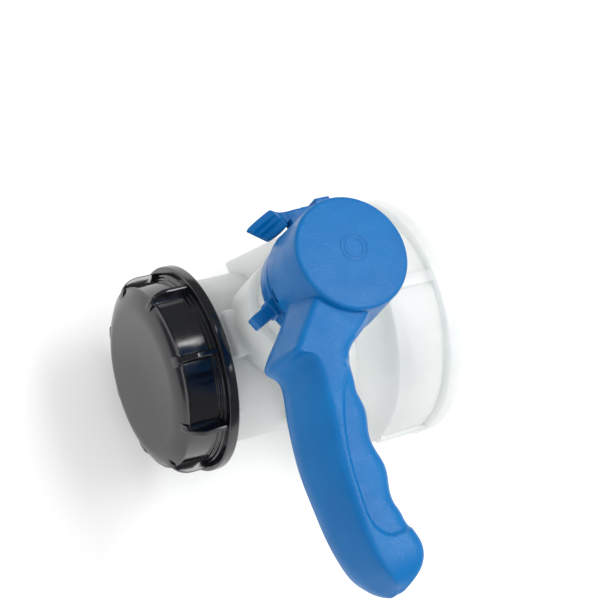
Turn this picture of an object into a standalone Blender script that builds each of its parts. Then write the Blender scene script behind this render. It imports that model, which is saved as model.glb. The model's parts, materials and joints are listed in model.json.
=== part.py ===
"""Butterfly valve for a liquid tank: body, disc and spindle, lever handle with latch, screw cap.

The flow runs along X: the collar that screws onto the tank faces +X and its end face lies at X = 0.
The spindle stands along +Z. All sizes below are in millimetres; the mesh helpers turn them to metres.
"""

from math import asin, ceil, cos, degrees, pi, radians, sin, sqrt

import bmesh
import bpy
from mathutils import Matrix, Vector

MM = 0.001
GAP = 0.3  # clearance between pieces that touch
SINK = 0.8  # how far joined shapes reach into each other
OVERCUT = 2.0  # how far a cutter runs past a face

# Flow path, measured from the spindle axis
SPINDLE_TO_INLET = 65.5
SPINDLE_TO_OUTLET = 42.6
SEAT_BORE_D = 54.0
SEAT_STEP = 1.5  # from the seat out to the chamber's wall
SEAT_LAND = 4.0
PIPE_WALL = 3.5
NECK_WALL = 2.9  # under the outlet thread
BORE_TAPER = 6.0
NECK_START = 26.5  # where the pipe steps down to the threaded neck

# Outlet thread, coarse buttress form
THREAD_D = 60.0
THREAD_PITCH = 6.0
THREAD_DEPTH = 2.6
THREAD_TURNS = 1.6
THREAD_LEAD_IN = 2.6  # from the pipe's end to the middle of the thread's start
THREAD_CLEARANCE = 0.6
THREAD_STEPS = 24  # facets a turn
THREAD_START_TURN = 5.0

# Tank-side collar
COLLAR_OD = 94.0
COLLAR_WALL = 3.2
COLLAR_LENGTH = 28.0
SHOULDER_LENGTH = 10.5
RIM_STEP = 1.5
RIM_LENGTH = 7.0
RIM_GROOVE = 1.0
COLLAR_RIBS = 4
COLLAR_RIB_WIDTH = 5.2
COLLAR_RIB_HEIGHT = 1.3
GASKET_LAND_WIDTH = 6.3
GASKET_LAND_DEPTH = 25.5
GASKET_THICKNESS = 3.0
COLLAR_THREAD_PITCH = 8.0
COLLAR_THREAD_DEPTH = 1.7
COLLAR_THREAD_TURNS = 1.7

# Spindle tower and its fins
TOWER_D = 40.6
TOWER_SHOULDER_Z = 50.0
TOWER_NECK_D = 33.0
TOWER_RING_D = 37.4
TOWER_RING_THICKNESS = 6.0
TOWER_TOP_Z = 64.0
FIN_THICKNESS = 5.0
FIN_FOOT_STEP = 3.0  # past the pipe
FIN_FOOT_Z = 8.0
FIN_TOP_STEP = 3.2  # past the tower
PAD_STEP = 2.7
PAD_WIDTH = 18.0
PAD_HEIGHT = 2.4
BOSS_D = 22.0
BOSS_FLOOR = 3.7

# Spindle, its bush and seals
SPINDLE_D = 12.0
SPINDLE_FLAT_DEPTH = 1.0
JOURNAL_D = 9.2
JOURNAL_LENGTH = 7.5
DRIVE_SQUARE = 8.4
DRIVE_LENGTH = 20.0
BUSH_OD = 18.0
BUSH_DEPTH = 30.0
BUSH_FLANGE_D = 26.0
BUSH_FLANGE_THICKNESS = 2.0
ORING_SECTION = 1.7
ORING_DEPTHS = (24.0, 15.0)  # below the tower's top: lower, upper
WASHER_D = 22.0
WASHER_THICKNESS = 1.0
CLIP_D = 18.0
CLIP_THICKNESS = 1.0
CLIP_GROOVE = 1.0

# Disc and its seal
DISC_THICKNESS = 5.0
DISC_HUB_D = 19.0
DISC_RIB_THICKNESS = 2.4
DISC_RIB_HEIGHT = 2.2
SEAL_DEPTH = 2.0
SEAL_WIDTH = 5.4
SEAL_CLEARANCE = 0.4

# Index ring and latch
INDEX_RING_INSET = 1.1  # from the skirt's outside
INDEX_RING_HEIGHT = 7.0
LUG_LENGTH = 14.0
LUG_WIDTH = 4.8
LUG_FOOT = (-16.3, -2.4)  # from the spindle axis
LUG_TURN = 24.3
LATCH_PIVOT_X = 12.0  # from the spindle axis, towards the tank
LATCH_CLEARANCE = 2.6  # from the handle's skirt out to the latch
LATCH_WIDTH = 4.2
LATCH_THICKNESS = 4.9
LATCH_REACH = 18.0
LATCH_BOSS_D = 5.2
LATCH_BOSS_WIDTH = 1.7
LATCH_TRAY = 1.2
LATCH_EAR = 2.2
LATCH_PIN_D = 2.6
PAD_TURN = 24.0
THUMB_PAD_LENGTH = 14.5
THUMB_PAD_WIDTH = 6.4
THUMB_RIDGES = 4
TOOTH_X = -4.0
TOOTH_LENGTH = 4.0
TOOTH_REACH = 4.6
SPRING_WIRE_D = 0.6
SPRING_D = 4.6
SPRING_TURNS = 2
SPRING_LEG = 8.0

# Handle. Its edges in plan, from the head to the tip, measured from the spindle axis: the widest
# line of each side, the crease at the top of the slanted left side, and the finger panel's edge.
SKIRT_D = 43.6
HEAD_TAPER = 1.2  # from the skirt in to the head's edge
HEAD_FACE_Z = 98.2
HEAD_WALL = 2.6
HEAD_TOP_WALL = 4.0
HUB_D = 20.0
SKIRT_GAP = 2.9  # from the index ring up to the skirt
NOTCH_DEPTH = 1.5
GRIP_DROP = 3.0  # from the head's face down to the grip's
GRIP_HEIGHT = 20.0
GRIP_LEFT = (
    (-14.5, 0), (-25, -13.7), (-34.2, -23.9), (-36.2, -28), (-32.6, -33.6), (-35.4, -48),
    (-37.2, -62), (-37.1, -76), (-36.2, -89), (-33.6, -100), (-28.9, -107), (-24.8, -110.6),
)
GRIP_RIGHT = (
    (14, -6), (1, -21.8), (-9.3, -29.6), (-11.6, -33.4), (-12.8, -38), (-13.9, -50),
    (-14.4, -63), (-14.7, -76), (-14.4, -88), (-12, -98), (-14.4, -104.9), (-20.8, -109.9),
)
GRIP_CREASE = (
    (-9.5, -3), (-21, -15.5), (-28.3, -24.2), (-30.6, -27.4), (-25, -31.8), (-26.3, -48.5),
    (-28.7, -62.5), (-30.1, -76), (-30.6, -89), (-29.6, -99.3), (-26.4, -105.6), (-23.8, -109.2),
)
PANEL_EDGE = (
    (-10, -29), (-14.4, -33.2), (-19.9, -42.3), (-24.1, -52.3), (-27.1, -64), (-28.4, -75.9),
    (-28.4, -86.6), (-24.8, -92.7), (-18.5, -94), (-12, -92.2),
)
GROOVE_PITCH = 20.0
GROOVE_DEPTH = 0.9
GROOVE_CREST_Y = -51.5
GROOVE_FIRST_Y = -42.0
GROOVE_LAST_Y = -89.0
TIP_Y = -98.0
TIP_LENGTH = 12.6
PANEL_DEPTH = 1.4
CORE_WALL = 3.0
CORE_FIRST_Y = -25.3
CORE_LAST_Y = -98.6
CORE_BAYS = 5
CORE_RIB = 2.2

# Outlet cap
CAP_WALL = 4.1
CAP_HEIGHT = 21.2
CAP_FACE_WALL = 3.0
CAP_EDGE_WIDTH = 8.7  # the rounded edge, from the side in to the flat face
CAP_DOME_DEPTH = 2.4
CAP_BEAD_BACK = 2.8
CAP_THREAD_TURNS = 1.1
CAP_FLANGE_REACH = 5.3
CAP_FLANGE_THICKNESS = 4.0
CAP_RIBS = 7
CAP_RIB_FIRST = -8.0
CAP_RIB_HEIGHT = 3.8
CAP_RIB_THICKNESS = 2.0
CAP_GASKET_THICKNESS = 2.5

STEPS = 40  # facets round the large diameters
SMALL_STEPS = 24

SPINDLE_X = -SPINDLE_TO_INLET
OUTLET_X = SPINDLE_X - SPINDLE_TO_OUTLET
NECK_X = SPINDLE_X - NECK_START
NECK_ROOT_R = THREAD_D / 2 - THREAD_DEPTH
OUTLET_BORE_D = 2 * (NECK_ROOT_R - NECK_WALL)
CHAMBER_BORE_D = SEAT_BORE_D + 2 * SEAT_STEP
PIPE_OD = CHAMBER_BORE_D + 2 * PIPE_WALL
COLLAR_ID = COLLAR_OD - 2 * COLLAR_WALL
RIM_OD = COLLAR_OD + 2 * RIM_STEP
GASKET_LAND_ID = COLLAR_ID - 2 * GASKET_LAND_WIDTH
FIN_FOOT_REACH = PIPE_OD / 2 + FIN_FOOT_STEP
FIN_TOP_REACH = TOWER_D / 2 + FIN_TOP_STEP
PAD_REACH = TOWER_D / 2 + PAD_STEP
SPINDLE_FLATS = SPINDLE_D - 2 * SPINDLE_FLAT_DEPTH
HEAD_D = SKIRT_D - 2 * HEAD_TAPER
INDEX_RING_D = SKIRT_D - 2 * INDEX_RING_INSET
LATCH_Y = SKIRT_D / 2 + LATCH_CLEARANCE
SEAT_R = SEAT_BORE_D / 2
DISC_EDGE_R = SEAT_R - SEAL_CLEARANCE - SEAL_DEPTH
HUB_FACE_Z = sqrt(DISC_EDGE_R**2 - (DISC_HUB_D / 2) ** 2)
SPOT_Z = SEAT_R + GAP  # floor of the pockets that take the seal's eyes
BUSH_BOTTOM_Z = TOWER_TOP_Z - BUSH_DEPTH
JOURNAL_BOTTOM_Z = -SPOT_Z - JOURNAL_LENGTH
WASHER_Z = TOWER_TOP_Z + BUSH_FLANGE_THICKNESS + 2 * GAP
CLIP_Z = WASHER_Z + WASHER_THICKNESS + GAP
DRIVE_Z = CLIP_Z + CLIP_THICKNESS + 1.0
INDEX_Z = TOWER_TOP_Z + GAP
INDEX_TOP_Z = INDEX_Z + INDEX_RING_HEIGHT
SKIRT_Z = INDEX_TOP_Z + SKIRT_GAP
GRIP_TOP_Z = HEAD_FACE_Z - GRIP_DROP
GRIP_BOTTOM_Z = GRIP_TOP_Z - GRIP_HEIGHT
TRAY_Z = INDEX_Z + LATCH_TRAY
PIVOT_Z = TRAY_Z + LATCH_BOSS_D / 2 + GAP + 0.1
ARM_Z = PIVOT_Z - 1.5
CAP_FACE_X = OUTLET_X - 2 * GAP - CAP_GASKET_THICKNESS - CAP_FACE_WALL
CAP_OPEN_X = CAP_FACE_X + CAP_HEIGHT
CAP_BORE_R = THREAD_D / 2 + THREAD_CLEARANCE
CAP_D = 2 * (CAP_BORE_R + CAP_WALL)
CAP_FLANGE_D = CAP_D + 2 * CAP_FLANGE_REACH
CAP_FACE_D = CAP_D - 2 * CAP_EDGE_WIDTH


# Scene and finishes


def empty_scene():
    for obj in list(bpy.data.objects):
        bpy.data.objects.remove(obj, do_unlink=True)


def collection(name):
    made = bpy.data.collections.new(name)
    bpy.context.scene.collection.children.link(made)
    return made


def finish(name, colour, roughness, metallic=0.0, alpha=1.0):
    """A Principled material with a linear colour."""
    material = bpy.data.materials.new(name)
    material.use_nodes = True
    shader = material.node_tree.nodes["Principled BSDF"]
    shader.inputs["Base Color"].default_value = (*colour, 1.0)
    shader.inputs["Roughness"].default_value = roughness
    shader.inputs["Metallic"].default_value = metallic
    shader.inputs["Alpha"].default_value = alpha
    return material


empty_scene()
PIECES = collection("tank_butterfly_valve")
HELPERS = collection("shapes_and_cutters")
NATURAL_HDPE = finish("natural_hdpe", (0.78, 0.82, 0.78), 0.38, alpha=0.8)
BLUE_PP = finish("blue_polypropylene", (0.01, 0.12, 0.50), 0.42)
BLACK_PP = finish("black_polypropylene", (0.012, 0.012, 0.013), 0.2)
BLACK_RUBBER = finish("black_epdm", (0.02, 0.02, 0.02), 0.6)
STEEL = finish("stainless_steel", (0.6, 0.6, 0.6), 0.3, metallic=1.0)
WHITE_POM = finish("white_acetal", (0.85, 0.85, 0.83), 0.4)
DISC_PP = finish("white_polypropylene", (0.8, 0.8, 0.78), 0.4)


# Mesh helpers. A shape is a helper until it is given a finish.


def mesh_object(name, mesh):
    obj = bpy.data.objects.new(name, mesh)
    HELPERS.objects.link(obj)
    obj.hide_render = True
    obj.display_type = "WIRE"
    return obj


def piece(obj, material):
    """Makes a helper one of the valve's pieces."""
    HELPERS.objects.unlink(obj)
    PIECES.objects.link(obj)
    obj.hide_render = False
    obj.display_type = "TEXTURED"
    obj.data.materials.append(material)
    obj.data.shade_smooth()
    obj.data.set_sharp_from_angle(angle=radians(35))
    return obj


def from_bmesh(name, bm, matrix=None):
    mesh = bpy.data.meshes.new(name)
    if matrix is not None:
        bm.transform(matrix)
    bmesh.ops.recalc_face_normals(bm, faces=bm.faces)
    bm.to_mesh(mesh)
    bm.free()
    return mesh_object(name, mesh)


def signed_area(points):
    turned_on = points[1:] + points[:1]
    return sum(a[0] * b[1] - b[0] * a[1] for a, b in zip(points, turned_on)) / 2


def turned(name, profile, axis="Z", centre=(0, 0, 0), steps=STEPS):
    """Turns a closed profile of (distance along the axis, radius) points with a Screw modifier."""
    outline = [(radius, along) for along, radius in profile]
    if signed_area(outline) > 0:
        outline.reverse()
    on_axis = [i for i, (radius, _) in enumerate(outline) if radius == 0]
    if on_axis:
        # The profile starts and ends on the axis, and the edge along the axis is left open.
        start = next(i for i in on_axis if outline[i - 1][0] == 0)
        outline = outline[start:] + outline[:start]
    count = len(outline)
    edges = [(i, i + 1) for i in range(count - 1)]
    if not on_axis:
        edges.append((count - 1, 0))
    mesh = bpy.data.meshes.new(name)
    mesh.from_pydata([(r * MM, 0, z * MM) for r, z in outline], edges, [])
    obj = mesh_object(name, mesh)
    screw = obj.modifiers.new("turn", "SCREW")
    screw.steps = screw.render_steps = steps
    screw.use_merge_vertices = True
    screw.merge_threshold = 0.00001
    screw.use_smooth_shade = True
    obj.location = Vector(centre) * MM
    if axis == "X":
        obj.rotation_euler = (0, pi / 2, 0)
    elif axis == "Y":
        obj.rotation_euler = (-pi / 2, 0, 0)
    return obj


def block(name, low, high, bevel=0.0):
    """A box between two corners, its edges chamfered if a size is given."""
    bm = bmesh.new()
    bmesh.ops.create_cube(bm, size=1.0)
    size = [b - a for a, b in zip(low, high)]
    middle = [(a + b) / 2 for a, b in zip(low, high)]
    matrix = Matrix.Translation(Vector(middle) * MM) @ Matrix.Diagonal(
        (*(Vector(size) * MM), 1.0)
    )
    bmesh.ops.transform(bm, matrix=matrix, verts=bm.verts)
    if bevel:
        bmesh.ops.bevel(
            bm, geom=list(bm.edges), offset=bevel * MM, segments=1, profile=0.5,
            affect="EDGES", material=-1,
        )
    return from_bmesh(name, bm)


def plate(name, outline, thickness, matrix):
    """A flat outline given its thickness: a filled 2D curve, made a mesh and placed by the matrix."""
    curve = bpy.data.curves.new(name, "CURVE")
    curve.dimensions = "2D"
    curve.fill_mode = "BOTH"
    curve.extrude = thickness / 2 * MM
    spline = curve.splines.new("POLY")
    spline.points.add(len(outline) - 1)
    for point, (x, y) in zip(spline.points, outline):
        point.co = (x * MM, y * MM, 0, 1)
    spline.use_cyclic_u = True
    return mesh_of_curve(name, curve, matrix)


def mesh_of_curve(name, curve, matrix):
    """Makes a curve a closed mesh, its caps welded on."""
    shape = bpy.data.objects.new(name, curve)
    HELPERS.objects.link(shape)
    graph = bpy.context.evaluated_depsgraph_get()
    mesh = bpy.data.meshes.new_from_object(shape.evaluated_get(graph))
    bpy.data.objects.remove(shape)
    bm = bmesh.new()
    bm.from_mesh(mesh)
    bpy.data.meshes.remove(mesh)
    bmesh.ops.remove_doubles(bm, verts=bm.verts, dist=0.00001)
    return from_bmesh(name, bm, matrix)


def helical_ridge(name, section, pitch, turns, start_x):
    """A thread ridge along X: a section of (along, radius) points swept by a Screw, its ends filled."""
    mesh = bpy.data.meshes.new(name)
    count = len(section)
    edges = [(i, (i + 1) % count) for i in range(count)]
    mesh.from_pydata([(radius * MM, 0, along * MM) for along, radius in section], edges, [])
    obj = mesh_object(name, mesh)
    screw = obj.modifiers.new("thread", "SCREW")
    screw.angle = 2 * pi * turns
    screw.screw_offset = pitch * turns * MM
    screw.steps = screw.render_steps = ceil(turns * THREAD_STEPS)
    graph = bpy.context.evaluated_depsgraph_get()
    swept = bpy.data.meshes.new_from_object(obj.evaluated_get(graph))
    bpy.data.objects.remove(obj)
    bm = bmesh.new()
    bm.from_mesh(swept)
    bpy.data.meshes.remove(swept)
    ends = [edge for edge in bm.edges if edge.is_boundary]
    bmesh.ops.holes_fill(bm, edges=ends, sides=0)
    along_x = about_pipe(THREAD_START_TURN) @ Matrix.Rotation(pi / 2, 4, "Y")
    return from_bmesh(name, bm, Matrix.Translation((start_x * MM, 0, 0)) @ along_x)


def boolean(target, other, operation):
    modifier = target.modifiers.new(f"{operation.lower()} {other.name}", "BOOLEAN")
    modifier.operation = operation
    modifier.object = other


def join(target, *others):
    for other in others:
        boolean(target, other, "UNION")


def cut(target, *others):
    for other in others:
        boolean(target, other, "DIFFERENCE")


def arc(centre, radius, first, last, count):
    """Points round a circle, from one angle to another in degrees."""
    angles = [radians(first + (last - first) * i / (count - 1)) for i in range(count)]
    return [(centre[0] + radius * cos(a), centre[1] + radius * sin(a)) for a in angles]


def round_x(name, diameter, low, high, steps=STEPS):
    """A plain cylinder about the pipe axis between two places along X."""
    return turned(
        name, [(low, 0), (low, diameter / 2), (high, diameter / 2), (high, 0)], "X", steps=steps
    )


def round_z(name, diameter, low, high, steps=SMALL_STEPS):
    """A plain cylinder about the spindle axis."""
    profile = [(low, 0), (low, diameter / 2), (high, diameter / 2), (high, 0)]
    return turned(name, profile, "Z", (SPINDLE_X, 0, 0), steps)


def ring_z(name, outer, inner, low, high, steps=SMALL_STEPS):
    profile = [(low, inner / 2), (low, outer / 2), (high, outer / 2), (high, inner / 2)]
    return turned(name, profile, "Z", (SPINDLE_X, 0, 0), steps)


def about_pipe(angle):
    """Turns a shape round the pipe axis: 0 is the spindle's side, and positive goes towards +Y."""
    return Matrix.Rotation(-radians(angle), 4, "X")


def thread_section(root, crest, root_width, crest_width):
    """A thread's section from its crest down past its root, its foot sunk into the wall it stands on."""
    height = abs(crest - root)
    foot = root - SINK if crest > root else root + SINK
    foot_width = root_width + (root_width - crest_width) * SINK / height
    return [
        (-foot_width / 2, foot), (-crest_width / 2, crest),
        (crest_width / 2, crest), (foot_width / 2, foot),
    ]


def about_spindle(turn=0.0, x=0.0, y=0.0, z=0.0):
    """Places a shape drawn round the origin at a point measured from the spindle axis."""
    place = Matrix.Translation(Vector((SPINDLE_X + x, y, z)) * MM)
    return place @ Matrix.Rotation(radians(turn), 4, "Z")


def repeated(shape, count, first=0.0):
    """Copies a shape's mesh round the pipe axis, all as one mesh."""
    bm = bmesh.new()
    for index in range(count):
        copy = shape.data.copy()
        copy.transform(about_pipe(first + 360.0 * index / count))
        bm.from_mesh(copy)
        bpy.data.meshes.remove(copy)
    name = f"{shape.name}_row"
    bpy.data.objects.remove(shape)
    return from_bmesh(name, bm)


# Body: one moulding with neck, pipe, shoulder, collar and spindle tower


def body_outside():
    """The turned outside of the body, solid for now."""
    pipe, collar, rim = PIPE_OD / 2, COLLAR_OD / 2, RIM_OD / 2
    shoulder = -COLLAR_LENGTH - SHOULDER_LENGTH
    groove = collar - RIM_GROOVE
    return [
        (OUTLET_X, 0),
        (OUTLET_X, NECK_ROOT_R - 0.8),
        (OUTLET_X + 0.8, NECK_ROOT_R),
        (NECK_X - 1.5, NECK_ROOT_R),
        (NECK_X, pipe),
        (shoulder, pipe),
        (-COLLAR_LENGTH - 0.9, collar - 1.3),
        (-COLLAR_LENGTH - 0.3, collar - 0.3),
        (-COLLAR_LENGTH + 0.6, collar),
        (-RIM_LENGTH - 2.2, collar),
        (-RIM_LENGTH - 2.0, groove),
        (-RIM_LENGTH - 0.4, groove),
        (-RIM_LENGTH, rim - 0.8),
        (-RIM_LENGTH + 0.8, rim),
        (-1.0, rim),
        (0, rim - 1.0),
        (0, 0),
    ]


def body_inside():
    """The turned flow path and the cup that takes the tank's neck."""
    chamber, outlet = CHAMBER_BORE_D / 2, OUTLET_BORE_D / 2
    cup, land = COLLAR_ID / 2, GASKET_LAND_ID / 2
    return [
        (OUTLET_X - OVERCUT, 0),
        (OUTLET_X - OVERCUT, outlet),
        (NECK_X - 1.0, outlet),
        (NECK_X - 1.0 + BORE_TAPER, chamber),
        (SPINDLE_X - 2 * SEAT_LAND, chamber),
        (SPINDLE_X - SEAT_LAND, SEAT_R),
        (SPINDLE_X + SEAT_LAND, SEAT_R),
        (SPINDLE_X + 2 * SEAT_LAND, chamber),
        (-COLLAR_LENGTH - SHOULDER_LENGTH + 1.5, chamber),
        (-GASKET_LAND_DEPTH - 3.0, land),
        (-GASKET_LAND_DEPTH, land),
        (-GASKET_LAND_DEPTH, cup),
        (-1.5, cup),
        (OVERCUT, cup + 1.5 + OVERCUT),
        (OVERCUT, 0),
    ]


def tower_fins():
    """The upright web on each side of the tower that stiffens it against the lever."""
    top = TOWER_TOP_Z - GAP
    right = [
        (FIN_FOOT_REACH, FIN_FOOT_Z),
        (FIN_FOOT_REACH, FIN_FOOT_Z + 2.5),
        (FIN_TOP_REACH, top - 1.5),
        (FIN_TOP_REACH - 1.0, top),
    ]
    left = [(-across, up) for across, up in reversed(right)]
    upright = about_spindle() @ Matrix(((0, 0, 1, 0), (1, 0, 0, 0), (0, 1, 0, 0), (0, 0, 0, 1)))
    return plate("tower_fins", right + left, FIN_THICKNESS, upright)


def spindle_bore():
    """The turned bore along the spindle: journal pocket, room for the disc's eyes, then the bush."""
    journal, shank = JOURNAL_D / 2 + GAP, SPINDLE_D / 2 + GAP
    eye, bush = DISC_HUB_D / 2 + 1.0, BUSH_OD / 2 + GAP
    low, high = JOURNAL_BOTTOM_Z - GAP, TOWER_TOP_Z + OVERCUT
    return [
        (low, 0), (low, journal), (-SPOT_Z, journal), (-SPOT_Z, eye), (SPOT_Z, eye),
        (SPOT_Z, shank), (BUSH_BOTTOM_Z - GAP, shank), (BUSH_BOTTOM_Z - GAP, bush),
        (high, bush), (high, 0),
    ]


def valve_body():
    body = turned("valve_body", body_outside(), "X")
    tower, neck, ring = TOWER_D / 2, TOWER_NECK_D / 2, TOWER_RING_D / 2
    ring_low = TOWER_TOP_Z - TOWER_RING_THICKNESS
    tower_profile = [
        (0, 0), (0, tower + 0.5), (TOWER_SHOULDER_Z - 0.8, tower), (TOWER_SHOULDER_Z, tower - 0.8),
        (TOWER_SHOULDER_Z, neck), (ring_low, neck), (ring_low, ring), (TOWER_TOP_Z - 0.6, ring),
        (TOWER_TOP_Z, ring - 0.6), (TOWER_TOP_Z, 0),
    ]
    rib_low, rib_high = COLLAR_OD / 2 - SINK, COLLAR_OD / 2 + COLLAR_RIB_HEIGHT
    rib = block(
        "collar_rib",
        (-COLLAR_LENGTH - 0.6, -COLLAR_RIB_WIDTH / 2, rib_low),
        (-RIM_LENGTH + SINK, COLLAR_RIB_WIDTH / 2, rib_high), bevel=0.5,
    )
    join(
        body,
        turned("tower", tower_profile, "Z", (SPINDLE_X, 0, 0)),
        tower_fins(),
        block(
            "tower_pad",
            (SPINDLE_X - PAD_REACH, -PAD_WIDTH / 2, SEAT_R + 2.0),
            (SPINDLE_X, PAD_WIDTH / 2, PIPE_OD / 2 + PAD_HEIGHT), bevel=0.6,
        ),
        round_z("bearing_boss", BOSS_D, JOURNAL_BOTTOM_Z - BOSS_FLOOR, -SEAT_R - 2.0),
        repeated(rib, COLLAR_RIBS),
    )
    cut(body, turned("flow_path", body_inside(), "X"))
    outlet_thread = helical_ridge(
        "outlet_thread",
        thread_section(NECK_ROOT_R, THREAD_D / 2, THREAD_PITCH * 0.5, THREAD_PITCH * 0.2),
        THREAD_PITCH, THREAD_TURNS, OUTLET_X + THREAD_LEAD_IN,
    )
    cup_r = COLLAR_ID / 2
    collar_thread = helical_ridge(
        "collar_thread",
        thread_section(
            cup_r, cup_r - COLLAR_THREAD_DEPTH, COLLAR_THREAD_PITCH * 0.45, COLLAR_THREAD_PITCH * 0.2
        ),
        COLLAR_THREAD_PITCH, COLLAR_THREAD_TURNS, -GASKET_LAND_DEPTH + GASKET_THICKNESS + 3.6,
    )
    join(body, outlet_thread, collar_thread)
    cut(body, turned("spindle_bore", spindle_bore(), "Z", (SPINDLE_X, 0, 0), SMALL_STEPS))
    return piece(body, NATURAL_HDPE)


# Spindle, bush and seals


def spindle_profile():
    """Journal, shank with its ring grooves and the root of the drive, bottom to top."""
    shank, journal = SPINDLE_D / 2, JOURNAL_D / 2
    groove = shank - ORING_SECTION
    points = [
        (JOURNAL_BOTTOM_Z, 0),
        (JOURNAL_BOTTOM_Z, journal - 0.6),
        (JOURNAL_BOTTOM_Z + 0.6, journal),
        (-SPOT_Z + GAP, journal),
        (-SPOT_Z + GAP, shank),
    ]
    for depth in ORING_DEPTHS:
        middle, half = TOWER_TOP_Z - depth, ORING_SECTION / 2 + GAP
        points += [
            (middle - half, shank), (middle - half, groove),
            (middle + half, groove), (middle + half, shank),
        ]
    points += [
        (CLIP_Z - GAP, shank), (CLIP_Z - GAP, shank - CLIP_GROOVE),
        (CLIP_Z + CLIP_THICKNESS + GAP, shank - CLIP_GROOVE),
        (CLIP_Z + CLIP_THICKNESS + GAP, shank),
        (DRIVE_Z, shank), (DRIVE_Z, 0),
    ]
    return points


def flats(name, half_thickness, reach):
    """Two blocks that leave a shape this thick along the flow, over the height of the disc."""
    return [
        block(
            f"{name}_{side}",
            (SPINDLE_X + low, -SPINDLE_D, -reach), (SPINDLE_X + high, SPINDLE_D, reach),
        )
        for side, low, high in (
            ("near", -SPINDLE_D, -half_thickness), ("far", half_thickness, SPINDLE_D)
        )
    ]


def spindle():
    made = turned("spindle", spindle_profile(), "Z", (SPINDLE_X, 0, 0), SMALL_STEPS)
    half = DRIVE_SQUARE / 2
    square = block(
        "drive_square",
        (SPINDLE_X - half, -half, DRIVE_Z - SINK),
        (SPINDLE_X + half, half, DRIVE_Z + DRIVE_LENGTH), bevel=0.4,
    )
    join(made, square)
    cut(made, *flats("spindle_flat", SPINDLE_FLATS / 2, SEAT_R - 5.0))
    return piece(made, DISC_PP)


def spindle_seals():
    section = ORING_SECTION / 2 - 0.1
    middle = SPINDLE_D / 2 - ORING_SECTION / 2 + 0.15
    for name, depth in zip(("lower_oring", "upper_oring"), ORING_DEPTHS):
        around = arc((TOWER_TOP_Z - depth, middle), section, 0, 315, 8)
        ring = turned(name, around, "Z", (SPINDLE_X, 0, 0), SMALL_STEPS)
        piece(ring, BLACK_RUBBER)


def bush_and_rings():
    inner = SPINDLE_D / 2 + GAP
    flange_z = TOWER_TOP_Z + GAP
    flange_top_z = flange_z + BUSH_FLANGE_THICKNESS
    bush = [
        (BUSH_BOTTOM_Z, inner), (BUSH_BOTTOM_Z, BUSH_OD / 2), (flange_z, BUSH_OD / 2),
        (flange_z, BUSH_FLANGE_D / 2), (flange_top_z, BUSH_FLANGE_D / 2), (flange_top_z, inner),
    ]
    piece(turned("bonnet_bush", bush, "Z", (SPINDLE_X, 0, 0), SMALL_STEPS), WHITE_POM)
    piece(ring_z("thrust_washer", WASHER_D, 2 * inner, WASHER_Z, WASHER_Z + WASHER_THICKNESS), STEEL)
    clip_top = CLIP_Z + CLIP_THICKNESS
    clip = ring_z("spindle_clip", CLIP_D, SPINDLE_D - 2 * CLIP_GROOVE + 2 * GAP, CLIP_Z, clip_top)
    mouth = block(
        "clip_mouth",
        (SPINDLE_X, -3.0, CLIP_Z - OVERCUT), (SPINDLE_X + CLIP_D, 3.0, clip_top + OVERCUT),
    )
    cut(clip, mouth)
    piece(clip, STEEL)


# Disc and its seal


def disc():
    """A flat disc, closed across the flow, with a hub along the spindle and a rib on each face."""
    edge, half = DISC_EDGE_R, DISC_THICKNESS / 2
    made = round_x("disc", 2 * edge, SPINDLE_X - half, SPINDLE_X + half)
    rib_reach, rib_half = edge * 0.86, DISC_RIB_THICKNESS / 2
    rib_face = half + DISC_RIB_HEIGHT
    ribs = block(
        "disc_ribs",
        (SPINDLE_X - rib_face, -rib_reach, -rib_half),
        (SPINDLE_X + rib_face, rib_reach, rib_half), bevel=0.5,
    )
    join(made, round_z("disc_hub", DISC_HUB_D, -edge, edge), ribs)
    reach = DISC_HUB_D
    for name, low, high in (("top_flat", HUB_FACE_Z, SEAT_R), ("foot_flat", -SEAT_R, -HUB_FACE_Z)):
        cut(made, block(name, (SPINDLE_X - reach, -reach, low), (SPINDLE_X + reach, reach, high)))
    bore = round_z("disc_bore", SPINDLE_D + 2 * GAP, -SEAT_R, SEAT_R)
    cut(bore, *flats("bore_flat", SPINDLE_FLATS / 2 + GAP, SEAT_R - 5.0 - GAP))
    cut(made, bore)
    return piece(made, DISC_PP)


def disc_seal():
    """A rubber band round the disc's edge, with a flat eye where the spindle passes."""
    outer = SEAT_R - SEAL_CLEARANCE
    inner = outer - SEAL_DEPTH + GAP
    half = SEAL_WIDTH / 2
    low, high = SPINDLE_X - half, SPINDLE_X + half
    band = [
        (low, inner), (low, outer - 0.5), (low + 1.2, outer),
        (high - 1.2, outer), (high, outer - 0.5), (high, inner),
    ]
    made = turned("disc_seal", band, "X")
    eye_z = HUB_FACE_Z + GAP
    join(
        made,
        round_z("upper_eye", DISC_HUB_D, eye_z, outer),
        round_z("lower_eye", DISC_HUB_D, -outer, -eye_z),
    )
    cut(made, round_z("eye_hole", SPINDLE_D + 2 * GAP, -SPOT_Z - OVERCUT, SPOT_Z + OVERCUT))
    return piece(made, BLACK_RUBBER)


# Index ring, and the latch that rides on it


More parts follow.
